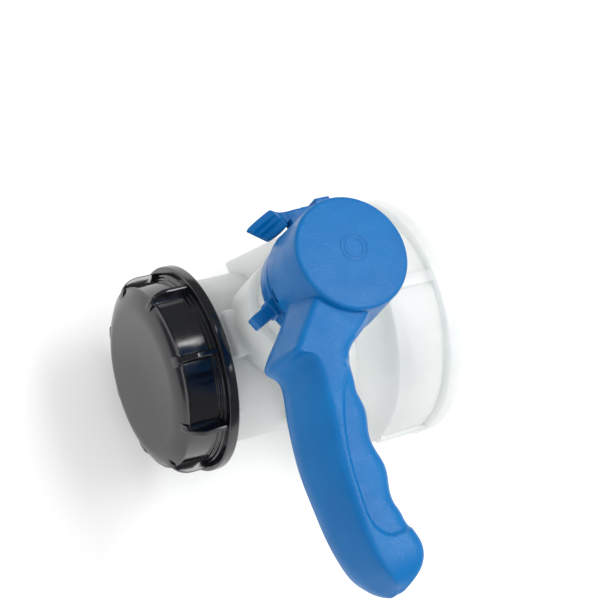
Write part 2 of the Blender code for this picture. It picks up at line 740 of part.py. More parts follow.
def index_ring():
    """The fixed ring under the handle, with its stop lug and the latch's tray and ears."""
    outer, inner = INDEX_RING_D / 2, BUSH_FLANGE_D / 2 + GAP
    ring = [
        (INDEX_Z, inner), (INDEX_Z, outer), (INDEX_TOP_Z - 0.8, outer),
        (INDEX_TOP_Z, outer - 0.8), (INDEX_TOP_Z, inner),
    ]
    made = turned("index_ring", ring, "Z", (SPINDLE_X, 0, 0))
    toward_lug = about_spindle(180.0 + LUG_TURN, *LUG_FOOT)
    lug = block(
        "stop_lug",
        (1.0, -LUG_WIDTH / 2, INDEX_Z + 0.8), (LUG_LENGTH, LUG_WIDTH / 2, INDEX_TOP_Z - 1.3), bevel=0.5,
    )
    lug_foot = block(
        "stop_lug_foot",
        (0, -LUG_WIDTH / 2 - 0.9, INDEX_Z + 0.2),
        (LUG_LENGTH * 0.45, LUG_WIDTH / 2 + 0.9, INDEX_TOP_Z - 0.6),
        bevel=0.5,
    )
    lug.data.transform(toward_lug)
    lug_foot.data.transform(toward_lug)
    slot_low, slot_high = LATCH_Y - GAP, LATCH_Y + LATCH_WIDTH + GAP
    ear_top = PIVOT_Z + LATCH_PIN_D / 2 + 1.7
    ear_x = SPINDLE_X + LATCH_PIVOT_X
    ear_half = LATCH_BOSS_D / 2 + 0.6
    tray = block(
        "latch_tray",
        (ear_x - ear_half - 3.0, outer * 0.7, INDEX_Z + 0.1),
        (ear_x + ear_half, slot_high + LATCH_EAR, TRAY_Z),
        bevel=0.4,
    )
    ears = [
        block(name, (ear_x - ear_half, low, INDEX_Z + 0.3), (ear_x + ear_half, high, ear_top), bevel=0.4)
        for name, low, high in (
            ("near_ear", slot_low - LATCH_EAR, slot_low), ("far_ear", slot_high, slot_high + LATCH_EAR)
        )
    ]
    join(made, lug, lug_foot, tray, *ears)
    hole_r = LATCH_PIN_D / 2 + GAP
    hole = turned(
        "ear_hole", [(-8, 0), (-8, hole_r), (8, hole_r), (8, 0)],
        "Y", (ear_x, LATCH_Y + LATCH_WIDTH / 2, PIVOT_Z), 20,
    )
    window = block(
        "tooth_window",
        (SPINDLE_X + TOOTH_X - 1.4, outer - 1.9, ARM_Z - 0.6),
        (SPINDLE_X + TOOTH_X + TOOTH_LENGTH + 1.4, outer + OVERCUT, INDEX_TOP_Z + OVERCUT),
    )
    cut(made, hole, window)
    return piece(made, BLUE_PP)


def thumb_pad():
    """The ribbed pad at the end of the latch, turned in towards the handle."""
    half, top = THUMB_PAD_WIDTH / 2, ARM_Z + LATCH_THICKNESS + 0.3
    pad = block("thumb_pad", (0, -half, ARM_Z - 0.3), (THUMB_PAD_LENGTH, half, top), bevel=0.9)
    step = THUMB_PAD_LENGTH * 0.6 / THUMB_RIDGES
    shapes = [pad]
    for index in range(THUMB_RIDGES):
        middle = THUMB_PAD_LENGTH * 0.34 + step * index
        ridge = block(
            f"thumb_ridge_{index}",
            (middle - 0.6, -half + 0.5, top - SINK), (middle + 0.6, half - 0.5, top + 0.7), bevel=0.3,
        )
        join(pad, ridge)
        shapes.append(ridge)
    arm_y = LATCH_Y + LATCH_WIDTH / 2
    place = about_spindle(180.0 + PAD_TURN, LATCH_PIVOT_X - LATCH_REACH + 1.0, arm_y)
    for shape in shapes:
        shape.data.transform(place)
    return pad


def latch_lever():
    """An arm on a pin: pressing the pad draws the tooth down out of the handle's skirt."""
    pivot = SPINDLE_X + LATCH_PIVOT_X
    far_y, boss_y = LATCH_Y + LATCH_WIDTH, LATCH_Y + LATCH_BOSS_WIDTH
    boss_r = LATCH_BOSS_D / 2
    arm_top = ARM_Z + LATCH_THICKNESS
    made = block(
        "latch_lever",
        (pivot - LATCH_REACH, LATCH_Y, ARM_Z), (pivot - boss_r - 1.3, far_y, arm_top), bevel=0.5,
    )
    neck = block(
        "latch_neck",
        (pivot - boss_r - 1.3 - SINK, LATCH_Y + 0.05, PIVOT_Z - 1.9), (pivot, boss_y, PIVOT_Z + 2.1),
    )
    boss = turned(
        "latch_boss", [(0, 0), (0, boss_r), (LATCH_BOSS_WIDTH, boss_r), (LATCH_BOSS_WIDTH, 0)],
        "Y", (pivot, LATCH_Y, PIVOT_Z), 24,
    )
    tooth_x = SPINDLE_X + TOOTH_X
    tooth = block(
        "latch_tooth",
        (tooth_x, LATCH_Y - TOOTH_REACH, ARM_Z + 1.2),
        (tooth_x + TOOTH_LENGTH, LATCH_Y + SINK, SKIRT_Z - GAP), bevel=0.4,
    )
    join(made, neck, boss, thumb_pad(), tooth)
    pin_hole = turned(
        "latch_pin_hole",
        [(-9, 0), (-9, LATCH_PIN_D / 2 + GAP), (9, LATCH_PIN_D / 2 + GAP), (9, 0)],
        "Y", (pivot, LATCH_Y, PIVOT_Z), 20,
    )
    leg_slot = block(
        "spring_slot",
        (pivot - SPRING_LEG - 1.0, boss_y, ARM_Z - OVERCUT),
        (pivot, far_y + OVERCUT, ARM_Z + SPRING_WIRE_D + 0.6),
    )
    cut(made, pin_hole, leg_slot)
    return piece(made, BLUE_PP)


def latch_pin():
    low = LATCH_Y - GAP - LATCH_EAR + 0.1
    high = LATCH_Y + LATCH_WIDTH + GAP + LATCH_EAR - 0.1
    radius = LATCH_PIN_D / 2
    profile = [
        (low, 0), (low, radius - 0.3), (low + 0.3, radius),
        (high - 0.3, radius), (high, radius - 0.3), (high, 0),
    ]
    pivot = (SPINDLE_X + LATCH_PIVOT_X, 0, PIVOT_Z)
    return piece(turned("latch_pin", profile, "Y", pivot, 20), STEEL)


def latch_spring():
    """A torsion spring round the pin: one leg under the arm, the other on the tray."""
    mean_r, pitch = (SPRING_D - SPRING_WIRE_D) / 2, SPRING_WIRE_D + 0.1
    first_y = LATCH_Y + LATCH_BOSS_WIDTH + GAP + SPRING_WIRE_D / 2
    bottom = -mean_r
    path = [(-SPRING_LEG, first_y, bottom)]
    count = 14 * SPRING_TURNS
    for index in range(count + 1):
        angle = 2 * pi * SPRING_TURNS * index / count
        along = first_y + pitch * SPRING_TURNS * index / count
        path.append((mean_r * sin(angle), along, -mean_r * cos(angle)))
    path.append((SPRING_D / 2, path[-1][1], bottom))
    curve = bpy.data.curves.new("latch_spring", "CURVE")
    curve.dimensions = "3D"
    curve.bevel_depth = SPRING_WIRE_D / 2 * MM
    curve.bevel_resolution = 1
    curve.use_fill_caps = True
    spline = curve.splines.new("POLY")
    spline.points.add(len(path) - 1)
    for point, place in zip(spline.points, path):
        point.co = (*(Vector(place) * MM), 1)
    made = mesh_of_curve("latch_spring", curve, about_spindle(0, LATCH_PIVOT_X, 0, PIVOT_Z))
    return piece(made, STEEL)


# Handle


def along_edge(points, place):
    """A smooth curve through an edge's points; whole numbers fall on the points themselves."""
    last = len(points) - 1
    index = min(int(place), last - 1)
    part = place - index
    before, here, after, beyond = (
        Vector(points[min(max(index + step, 0), last)]) for step in (-1, 0, 1, 2)
    )
    bend = 2 * before - 5 * here + 4 * after - beyond
    twist = 3 * (here - after) + beyond - before
    return 0.5 * (2 * here + (after - before) * part + bend * part**2 + twist * part**3)


def grip_edges(place):
    """The left and right edges of the grip in plan, the right one waved for the fingers."""
    left, right = along_edge(GRIP_LEFT, place), along_edge(GRIP_RIGHT, place)
    inside = min(GROOVE_FIRST_Y - right.y, right.y - GROOVE_LAST_Y)
    fade = min(max(inside / 5.0, 0.0), 1.0)
    wave = cos(2 * pi * (right.y - GROOVE_CREST_Y) / GROOVE_PITCH)
    right.x += GROOVE_DEPTH * wave * fade
    return left, right


def grip_section(place):
    """The outline of the grip at one place: slanted on the left up to the crease, rounded on the right."""
    left, right = grip_edges(place)
    crease = along_edge(GRIP_CREASE, place)
    across = (right - left).normalized()
    narrow = min((right - left).length / 22.0, 1.0)
    toward_tip = min(max((TIP_Y - (left.y + right.y) / 2) / TIP_LENGTH, 0.0), 0.98)
    rounding = 1.0 - sqrt(1.0 - toward_tip**2)
    top = GRIP_TOP_Z - 0.5 * GRIP_HEIGHT * rounding
    bottom = GRIP_BOTTOM_Z + 0.4 * GRIP_HEIGHT * rounding
    points = [
        (left + across * 5.0 * narrow, 0.0), (left + across * 1.5 * narrow, 0.075), (left, 0.25),
        (left.lerp(crease, 0.28), 0.52), (left.lerp(crease, 0.66), 0.8), (left.lerp(crease, 0.9), 0.93),
        (crease + across * 0.9 * narrow, 1.0),
    ]
    points += [
        (right - across * inset * narrow, up)
        for inset, up in (
            (4.5, 1.0), (1.7, 0.94), (0.4, 0.80), (0.0, 0.6), (0.0, 0.25), (1.5, 0.075), (5.0, 0.0)
        )
    ]
    tall = top - bottom
    return [(plan.x, plan.y, bottom + tall * up) for plan, up in points]


def core_section(place):
    """The outline of the cored-out underside, a wall's thickness inside the grip."""
    left, right = grip_edges(place)
    crease = along_edge(GRIP_CREASE, place)
    across = (right - left).normalized()
    low, high = GRIP_BOTTOM_Z - OVERCUT, GRIP_TOP_Z - CORE_WALL - PANEL_DEPTH
    points = [
        (left, CORE_WALL, low), (left, CORE_WALL, GRIP_BOTTOM_Z + 0.4 * GRIP_HEIGHT),
        (crease, CORE_WALL - 1.0, high), (right, -CORE_WALL - 2.0, high),
        (right, -CORE_WALL, GRIP_BOTTOM_Z + 0.6 * GRIP_HEIGHT), (right, -CORE_WALL, low),
    ]
    return [(*(edge + across * inset), z) for edge, inset, z in points]


def loft(name, rings):
    """Skins a row of closed outlines and fills the first and last."""
    bm = bmesh.new()
    rows = [[bm.verts.new(Vector(point) * MM) for point in ring] for ring in rings]
    for row, following in zip(rows, rows[1:]):
        for index in range(len(row)):
            after = (index + 1) % len(row)
            bm.faces.new((row[index], row[after], following[after], following[index]))
    bm.faces.new(rows[0])
    bm.faces.new(list(reversed(rows[-1])))
    bmesh.ops.triangulate(bm, faces=bm.faces)
    return from_bmesh(name, bm, about_spindle())


def grip():
    spans = len(GRIP_LEFT) - 1
    return loft("grip", [grip_section(step / 4) for step in range(4 * spans + 1)])


def place_at(y):
    """The place along the left edge that lies at y, found by halving."""
    low, high = 0.0, len(GRIP_LEFT) - 1.0
    for _ in range(20):
        middle = (low + high) / 2
        if along_edge(GRIP_LEFT, middle).y > y:
            low = middle
        else:
            high = middle
    return low


def grip_cores():
    """One pocket for each bay of the underside, with a cross rib left between bays."""
    bay = (CORE_FIRST_Y - CORE_LAST_Y + CORE_RIB) / CORE_BAYS
    pockets = []
    for index in range(CORE_BAYS):
        start = CORE_FIRST_Y - bay * index
        levels = [start - (bay - CORE_RIB) * step / 4 for step in range(5)]
        pockets.append(loft(f"core_{index}", [core_section(place_at(y)) for y in levels]))
    return pockets


def finger_panel():
    """The shallow sunk panel on the grip's upper right side, where the fingers' grain is."""
    places = [step / 3 for step in range(3 * (len(PANEL_EDGE) - 1) + 1)]
    outline = [tuple(along_edge(PANEL_EDGE, place)) for place in places]
    outline += [(0.0, outline[-1][1]), (0.0, outline[0][1])]
    return plate(
        "finger_panel", outline, 2 * PANEL_DEPTH, about_spindle(0, 0, 0, GRIP_TOP_Z)
    )


def handle():
    """The moulded lever: a hollow head with a square hub, and a cored grip joined to it."""
    skirt, head = SKIRT_D / 2, HEAD_D / 2
    head_profile = [
        (SKIRT_Z, 0), (SKIRT_Z, skirt), (HEAD_FACE_Z - 1.2, head), (HEAD_FACE_Z - 0.4, head - 0.4),
        (HEAD_FACE_Z, head - 1.2), (HEAD_FACE_Z, 0),
    ]
    made = turned("handle", head_profile, "Z", (SPINDLE_X, 0, 0), STEPS)
    join(made, grip())
    inner, hub = skirt - HEAD_WALL, HUB_D / 2
    roof = HEAD_FACE_Z - HEAD_TOP_WALL
    hollow = [
        (SKIRT_Z - OVERCUT, hub), (SKIRT_Z - OVERCUT, inner), (roof - 1.5, inner - 0.8),
        (roof, inner - 2.3), (roof, hub + 1.0),
    ]
    cut(made, turned("head_hollow", hollow, "Z", (SPINDLE_X, 0, 0)))
    hub_low = DRIVE_Z + GAP
    join(made, round_z("handle_hub", HUB_D, hub_low, roof + SINK))
    socket = DRIVE_SQUARE / 2 + GAP
    cut(
        made,
        block(
            "drive_socket",
            (SPINDLE_X - socket, -socket, hub_low - OVERCUT),
            (SPINDLE_X + socket, socket, DRIVE_Z + DRIVE_LENGTH + GAP),
        ),
    )
    for name, turn in (("closed_notch", 0.0), ("open_notch", 90.0)):
        middle_x = TOOTH_X + TOOTH_LENGTH / 2
        half = TOOTH_LENGTH / 2 + 0.6
        notch = block(
            name, (middle_x - half, inner - OVERCUT, SKIRT_Z - OVERCUT),
            (middle_x + half, skirt + OVERCUT, SKIRT_Z + NOTCH_DEPTH),
        )
        notch.data.transform(about_spindle(turn))
        cut(made, notch)
    cut(made, *grip_cores(), finger_panel())
    return piece(made, BLUE_PP)


# Outlet cap and the gaskets


def outlet_cap():
    body, flange, face = CAP_D / 2, CAP_FLANGE_D / 2, CAP_FACE_D / 2
    flange_x = CAP_OPEN_X - CAP_FLANGE_THICKNESS
    bead_x = CAP_FACE_X + CAP_BEAD_BACK
    dome = []
    for across, along in arc((0, 0), 1.0, 90, 10, 7):
        radius = face + (body - 0.4 - face) * across
        dome.append((CAP_FACE_X + CAP_DOME_DEPTH * (1 - along), radius))
    outside = [(CAP_FACE_X, 0)] + dome + [
        (bead_x - 0.4, body + 0.5), (bead_x + 0.4, body + 0.5), (bead_x + 0.6, body),
        (flange_x - 3.4, body + 0.2), (flange_x - 3.2, body + 1.0),
        (flange_x - 1.7, body + 1.1), (flange_x - 1.5, body + 2.0), (flange_x, body + 2.1),
        (flange_x, flange - 0.7), (flange_x + 0.7, flange), (CAP_OPEN_X - 0.7, flange),
        (CAP_OPEN_X, flange - 0.7), (CAP_OPEN_X, 0),
    ]
    made = turned("outlet_cap", outside, "X")
    rib_low, rib_high = body - 1.2, body + CAP_RIB_HEIGHT
    start_x, bend = bead_x + 0.9, 9.0
    first = degrees(asin(1 - (CAP_RIB_HEIGHT - 0.4) / bend))
    arch_x = start_x + 0.4 + bend * cos(radians(first))
    arch = arc((arch_x, rib_high - bend), bend, 180 - first, 90, 5)
    rib_end = flange_x + SINK
    outline = [(start_x, rib_low), (start_x, body + 0.2)]
    outline += arch + [(rib_end, rib_high), (rib_end, rib_low)]
    upright = Matrix(((1, 0, 0, 0), (0, 0, 1, 0), (0, 1, 0, 0), (0, 0, 0, 1)))
    rib = plate("cap_rib", outline, CAP_RIB_THICKNESS, upright)
    join(made, repeated(rib, CAP_RIBS, CAP_RIB_FIRST))
    inner_x = CAP_FACE_X + CAP_FACE_WALL
    bore = [
        (inner_x, 0), (inner_x, CAP_BORE_R), (CAP_OPEN_X - 0.8, CAP_BORE_R),
        (CAP_OPEN_X + OVERCUT, CAP_BORE_R + 0.8 + OVERCUT), (CAP_OPEN_X + OVERCUT, 0),
    ]
    cut(made, turned("cap_bore", bore, "X"))
    section = thread_section(
        CAP_BORE_R, NECK_ROOT_R + THREAD_CLEARANCE, THREAD_PITCH * 0.45, THREAD_PITCH * 0.2
    )
    first_x = OUTLET_X + THREAD_LEAD_IN + THREAD_PITCH / 2
    join(made, helical_ridge("cap_thread", section, THREAD_PITCH, CAP_THREAD_TURNS, first_x))
    return piece(made, BLACK_PP)


def gaskets():
    cap_x = CAP_FACE_X + CAP_FACE_WALL + GAP
    cap_end = cap_x + CAP_GASKET_THICKNESS
    outer, inner = CAP_BORE_R - 0.8, OUTLET_BORE_D / 2
    ring = [(cap_x, inner), (cap_x, outer), (cap_end, outer), (cap_end, inner)]
    piece(turned("cap_gasket", ring, "X"), BLACK_RUBBER)
    low = -GASKET_LAND_DEPTH + GAP
    high = low + GASKET_THICKNESS
    outer, inner = COLLAR_ID / 2 - 0.4, GASKET_LAND_ID / 2 + 0.4
    ring = [(low, inner), (low, outer), (high, outer), (high, inner)]
    piece(turned("inlet_gasket", ring, "X"), BLACK_RUBBER)


# Joint axes


def pivot(name, place, *children):
    """An empty on a joint's axis that carries the pieces that turn about it."""
    empty = bpy.data.objects.new(name, None)
    empty.location = Vector(place) * MM
    empty.empty_display_size = 0.02
    PIECES.objects.link(empty)
    for child in children:
        carried = bpy.data.objects[child]
        carried.parent = empty
        carried.matrix_parent_inverse = Matrix.Translation(empty.location).inverted()
    return empty


def main():
    valve_body()
    spindle()
    spindle_seals()
    bush_and_rings()
    disc()
    disc_seal()
    index_ring()
    latch_lever()
    latch_pin()
    latch_spring()
    handle()
    outlet_cap()
    gaskets()
    turning = ("handle", "spindle", "spindle_clip", "disc", "disc_seal", "lower_oring", "upper_oring")
    pivot("spindle_axis", (SPINDLE_X, 0, 0), *turning)
    latch_y = LATCH_Y + LATCH_WIDTH / 2
    pivot("latch_axis", (SPINDLE_X + LATCH_PIVOT_X, latch_y, PIVOT_Z), "latch_lever")
    pivot("cap_axis", (CAP_FACE_X, 0, 0), "outlet_cap", "cap_gasket")


main()
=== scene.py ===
# %% [markdown]
# # A butterfly valve for a liquid tank
# The real valve closes the outlet at the foot of a liquid tank. Its milky body carries a collar
# that screws onto the tank, and a threaded outlet with a black cap. A blue lever turns the disc
# inside, and a latch beside it holds the lever. The solids come from CAD: they are loaded as a
# fixed frame that keeps their places and sizes, and each piece drawn here rides on one of its
# moving bodies. Shapes are drawn in millimetres, as a maker measures them, and MM turns them into
# Blender's metres.

# %% Load the solids
import json
from math import cos, pi, radians, sin

import bmesh
import bpy
from mathutils import Matrix, Vector


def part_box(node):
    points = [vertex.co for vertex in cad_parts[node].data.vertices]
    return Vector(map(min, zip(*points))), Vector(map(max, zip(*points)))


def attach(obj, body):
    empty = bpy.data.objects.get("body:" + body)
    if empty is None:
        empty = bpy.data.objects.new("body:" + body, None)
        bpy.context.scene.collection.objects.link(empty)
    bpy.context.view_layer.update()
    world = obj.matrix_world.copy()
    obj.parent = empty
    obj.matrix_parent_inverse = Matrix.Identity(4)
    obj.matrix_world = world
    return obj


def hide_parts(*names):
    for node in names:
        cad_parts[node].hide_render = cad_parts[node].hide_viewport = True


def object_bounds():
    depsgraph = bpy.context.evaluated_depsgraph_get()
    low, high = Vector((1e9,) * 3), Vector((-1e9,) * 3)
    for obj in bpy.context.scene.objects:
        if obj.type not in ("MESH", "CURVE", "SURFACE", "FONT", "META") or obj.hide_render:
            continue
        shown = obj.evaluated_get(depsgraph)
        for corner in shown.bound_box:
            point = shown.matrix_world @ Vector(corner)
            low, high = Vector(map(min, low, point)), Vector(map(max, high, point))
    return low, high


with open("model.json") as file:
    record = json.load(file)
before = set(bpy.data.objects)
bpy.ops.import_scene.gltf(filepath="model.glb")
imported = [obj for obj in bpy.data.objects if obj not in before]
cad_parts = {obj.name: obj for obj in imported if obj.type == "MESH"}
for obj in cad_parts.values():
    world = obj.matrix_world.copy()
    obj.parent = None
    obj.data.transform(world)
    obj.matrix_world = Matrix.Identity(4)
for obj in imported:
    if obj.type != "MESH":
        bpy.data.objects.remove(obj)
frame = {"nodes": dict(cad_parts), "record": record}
CAD_LOW, CAD_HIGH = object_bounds()
MM = 0.001
SPINDLE_X = (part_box("spindle")[0].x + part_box("spindle")[1].x) / 2
SPINDLE = Vector((SPINDLE_X, 0, 0))

# %% [markdown]
# ## How a finish is built
# Every finish is a small tree of nodes. One function adds any node with its constants and links, so
# that a finish reads as a list of what the plastic does. Colours are written as the hex codes that
# a picture shows, and another function turns them into the linear light that a shader expects.


# %% Colours and nodes
def linear(code):
    """A linear colour from a six-digit sRGB hex code."""
    parts = [int(code[i : i + 2], 16) / 255 for i in (0, 2, 4)]
    return [p / 12.92 if p <= 0.04045 else ((p + 0.055) / 1.055) ** 2.4 for p in parts] + [1.0]


def add_node(tree, kind, **inputs):
    """Adds a node. An input is a constant, or the output of another node to link."""
    node = tree.nodes.new(kind)
    for name, value in inputs.items():
        socket = node.inputs[name.replace("_", " ")]
        if isinstance(value, bpy.types.NodeSocket):
            tree.links.new(value, socket)
        else:
            socket.default_value = value
    return node


print("mid grey in linear light:", round(linear("808080")[0], 3))

# %% [markdown]
# ## What drifts over a moulded surface
# Moulded plastic looks real when its shade, its gloss and its evenness all drift a little. The
# drifts could be painted as images, but noise needs no file and stays sharp close up. It reads
# Object coordinates, which are metres in the valve's own frame, so each pattern keeps its size in
# millimetres from every side. A finish takes only those drifts that its plastic shows.

# %% Shade, gloss and relief
NOISE_LOW, NOISE_HIGH = 0.35, 0.65  # most values of a noise lie between these


class Finish:
    """A Principled material with constants on its own sockets and noise for what drifts."""

    def __init__(self, name, **sockets):
        self.material = bpy.data.materials.new(name)
        self.material.use_nodes = True
        self.tree = self.material.node_tree
        self.shader = self.tree.nodes["Principled BSDF"]
        for socket, value in sockets.items():
            self.shader.inputs[socket.replace("_", " ")].default_value = value
        self.place = add_node(self.tree, "ShaderNodeTexCoord").outputs["Object"]

    def drift_shade(self, size_mm, low, high, detail=3.0):
        """Two shades that blend into each other over about size_mm."""
        noise = add_node(
            self.tree, "ShaderNodeTexNoise",
            Vector=self.place, Scale=1 / (size_mm * MM), Detail=detail,
        )
        ramp = add_node(self.tree, "ShaderNodeValToRGB", Fac=noise.outputs["Fac"])
        stops = ((NOISE_LOW, low), (NOISE_HIGH, high))
        for element, (position, code) in zip(ramp.color_ramp.elements, stops):
            element.position = position
            element.color = linear(code)
        self.tree.links.new(ramp.outputs["Color"], self.shader.inputs["Base Color"])

    def drift_gloss(self, size_mm, low, high, detail=2.0):
        """A roughness that wanders between two values."""
        noise = add_node(
            self.tree, "ShaderNodeTexNoise",
            Vector=self.place, Scale=1 / (size_mm * MM), Detail=detail,
        )
        span = add_node(
            self.tree, "ShaderNodeMapRange", Value=noise.outputs["Fac"],
            From_Min=NOISE_LOW, From_Max=NOISE_HIGH, To_Min=low, To_Max=high,
        )
        self.tree.links.new(span.outputs["Result"], self.shader.inputs["Roughness"])

    def relief(self, size_mm, strength, depth_mm, **under):
        """Hollows and swells of about size_mm, over those of an earlier relief if one is given."""
        noise = add_node(
            self.tree, "ShaderNodeTexNoise",
            Vector=self.place, Scale=1 / (size_mm * MM), Detail=2.0,
        )
        bump = add_node(
            self.tree, "ShaderNodeBump", Height=noise.outputs["Fac"],
            Strength=strength, Distance=depth_mm * MM, **under,
        )
        self.tree.links.new(bump.outputs["Normal"], self.shader.inputs["Normal"])
        return bump.outputs["Normal"]


print("drifts read from", NOISE_LOW, "to", NOISE_HIGH)

# %% [markdown]
# ## The body's plastic
# The body is injection-moulded high-density polyethylene without pigment. Its fine crystals
# scatter light, so it is milky: light enters, spreads a centimetre or so and leaves again. A plain
# white would look like paint. Subsurface scattering gives the glow from within, and a little
# transmission keeps thin walls from looking solid.


# %% Natural polyethylene
def natural_polyethylene():
    """Satin and milky: soft shadows, no deep black anywhere."""
    made = Finish(
        "natural_hdpe", Roughness=0.36, Subsurface_Weight=0.8, Subsurface_Scale=0.014,
        Subsurface_Radius=(1.0, 1.0, 1.0), Transmission_Weight=0.10, IOR=1.5,
    )
    made.drift_shade(24, "DFE4E2", "E9EDEB")
    made.drift_gloss(9, 0.32, 0.40)
    made.relief(3.0, 0.12, 0.05)
    return made.material


FINISHES = {"natural_hdpe": natural_polyethylene()}
print("finishes", sorted(FINISHES))

# %% [markdown]
# ## The blue plastic
# The lever is moulded polypropylene. The upper faces of its mould were spark-eroded, which leaves a
# fine grain that breaks up the sheen, and the plastic sinks slightly as it cools. The real grain is
# finer than the render can show, so it is drawn at 0.5 mm, over shallow swells of 8 mm. The
# normal's Z tells which faces look up; painting them by hand would tie the grain to the mesh.


# %% Grained and smooth polypropylene
def grained_polypropylene():
    """Broken, soft highlights on top, plain satin on the sides."""
    made = Finish(
        "blue_polypropylene_grained", Roughness=0.38, IOR=1.5, Specular_IOR_Level=0.30,
    )
    made.drift_shade(18, "0066AA", "006DB1")
    made.drift_gloss(7.0, 0.30, 0.44)
    facing = add_node(made.tree, "ShaderNodeTexCoord").outputs["Normal"]
    upward = add_node(made.tree, "ShaderNodeSeparateXYZ", Vector=facing).outputs["Z"]
    on_top = add_node(
        made.tree, "ShaderNodeMapRange", Value=upward, From_Min=0.80, From_Max=0.97, To_Max=1.0,
    )
    swell = made.relief(8.0, 0.5, 0.25)
    made.relief(0.5, on_top.outputs["Result"], 0.16, Normal=swell)
    return made.material


def smooth_polypropylene():
    """The same plastic from a polished mould: a tighter sheen on the small pieces."""
    made = Finish(
        "blue_polypropylene_smooth", Roughness=0.30, IOR=1.5, Specular_IOR_Level=0.30,
    )
    made.drift_shade(12, "0063A8", "0069AE", detail=2.0)
    made.relief(1.6, 0.06, 0.05)
    return made.material


GRAINED = grained_polypropylene()
FINISHES["blue_polypropylene"] = smooth_polypropylene()
print("finishes", sorted(FINISHES))

# %% [markdown]
# ## The cap's plastic
# The cap is black polypropylene from a polished mould. It is nearly a mirror in a dark colour, so
# what the eye sees is mostly reflection, slightly hazed by handling. The haze is a drift in gloss.


# %% Polished black polypropylene
def polished_black():
    """Sharp, bright reflections with a faint haze."""
    made = Finish("black_polypropylene", Roughness=0.16, IOR=1.5, Specular_IOR_Level=0.9)
    made.drift_shade(20, "0B0C11", "101218")
    made.drift_gloss(6, 0.11, 0.20, detail=4.0)
    made.relief(4.0, 0.05, 0.05)
    return made.material


FINISHES["black_polypropylene"] = polished_black()
print("finishes", sorted(FINISHES))

# %% [markdown]
# ## Rubber, steel and white plastics
# These pieces sit inside the valve or peep out of it, so one plain recipe serves them all. Rubber
# is dark and matt, drawn steel is a clean satin metal, and the two white plastics differ only in
# their shade and gloss.


# %% Finishes of the inner pieces
def plain_finish(name, low, high, roughness, size_mm=4.0, **sockets):
    """An even finish whose shade, gloss and surface drift over a few millimetres."""
    made = Finish(name, Roughness=roughness, **sockets)
    made.drift_shade(size_mm, low, high)
    made.drift_gloss(size_mm / 2, roughness * 0.85, roughness * 1.15)
    made.relief(size_mm / 4, 0.1, 0.03)
    return made.material


FINISHES["black_epdm"] = plain_finish("black_epdm", "0E0E0E", "161616", 0.62)
FINISHES["stainless_steel"] = plain_finish(
    "stainless_steel", "9A9A98", "B4B4B2", 0.30, size_mm=2.0, Metallic=1.0,
)
FINISHES["white_acetal"] = plain_finish("white_acetal", "DADAD6", "E6E6E2", 0.40)
FINISHES["white_polypropylene"] = plain_finish("white_polypropylene", "D6D6D2", "E2E2DE", 0.44)
print("finishes", sorted(FINISHES))

# %% [markdown]
# ## Outlines with mould radii
# A moulded part has no sharp corners, because plastic doesn't fill them. Each corner of an outline
# therefore carries a radius, and a short curve takes its place. Rounding the outline first is
# steadier than bevelling the finished mesh, where a wide bevel would run into its neighbours.

# %% Rounded outlines
CURVE_SHARE = 0.48  # a curve takes up less than half of an edge, so that two never meet


def fillet(before, corner, after, radius, count):
    """Rounds one corner with a short curve between its two edges."""
    reach_in = min(radius, (before - corner).length * CURVE_SHARE)
    reach_out = min(radius, (after - corner).length * CURVE_SHARE)
    start = corner + (before - corner).normalized() * reach_in
    end = corner + (after - corner).normalized() * reach_out
    steps = [index / (count - 1) for index in range(count)]
    return [start * (1 - t) ** 2 + corner * 2 * t * (1 - t) + end * t * t for t in steps]


def rounded(corners, count=5):
    """A closed outline from (point, radius) corners; a corner without a radius stays a point."""
    outline = []
    for index, (corner, radius) in enumerate(corners):
        before, after = corners[index - 1][0], corners[(index + 1) % len(corners)][0]
        if radius:
            outline += fillet(before, corner, after, radius, count)
        else:
            outline.append(corner.copy())
    return outline


def profile(*corners):
    """A rounded outline of (along, radius) points from (along, radius, corner radius) triples."""
    made = rounded([(Vector((along, radius)), size) for along, radius, size in corners])
    return [tuple(point) for point in made]


sample = profile((0, 1, 0), (1, 1, 0), (1, 2, 0.2))
print("a triangle with one round corner has", len(sample), "points")

# %% [markdown]
# ## Turned bodies
# The lever's head, the rings on it and the cap's shell are round. Cylinders could be stacked for
# them, but their rounded edges would each need a bevel. Instead the whole outline is drawn once, as
# a lathe operator would cut it, and spun once round its axis. A spin leaves its faces in an order
# that changes from run to run, so they are sorted: a Boolean then gives the same mesh every time.

# %% Turn an outline
DOUBLES = 0.002 * MM


def in_fixed_order(bm):
    """Sorts the faces by the numbers of their first corners."""
    bm.verts.index_update()

    def rank(face):
        first, second, third = sorted(vert.index for vert in face.verts)[:3]
        return (first * 1e5 + second) * 1e5 + third

    bm.faces.sort(key=rank)


def turned(outline, origin, axis="Z", steps=160):
    """Spins an outline of (along, radius) points once round an axis through the origin."""
    bm = bmesh.new()
    verts = []
    for along, radius in outline:
        point = (radius, 0, along) if axis == "Z" else (along, radius, 0)
        verts.append(bm.verts.new(Vector(point) * MM + origin))
    pairs = list(zip(verts, verts[1:]))
    # An outline that starts on the axis ends there too. Any other closes on itself.
    starts_on_axis = outline[0][1] == 0
    if not starts_on_axis:
        pairs.append((verts[-1], verts[0]))
    edges = [bm.edges.new(pair) for pair in pairs]
    direction = Vector((0, 0, 1)) if axis == "Z" else Vector((1, 0, 0))
    bmesh.ops.spin(
        bm, geom=verts + edges, cent=origin, axis=direction, angle=2 * pi, steps=steps,
        use_merge=True,
    )
    bmesh.ops.remove_doubles(bm, verts=bm.verts, dist=DOUBLES)
    in_fixed_order(bm)
    bmesh.ops.recalc_face_normals(bm, faces=bm.faces)
    return bm


print("doubles are merged within", DOUBLES / MM, "mm")

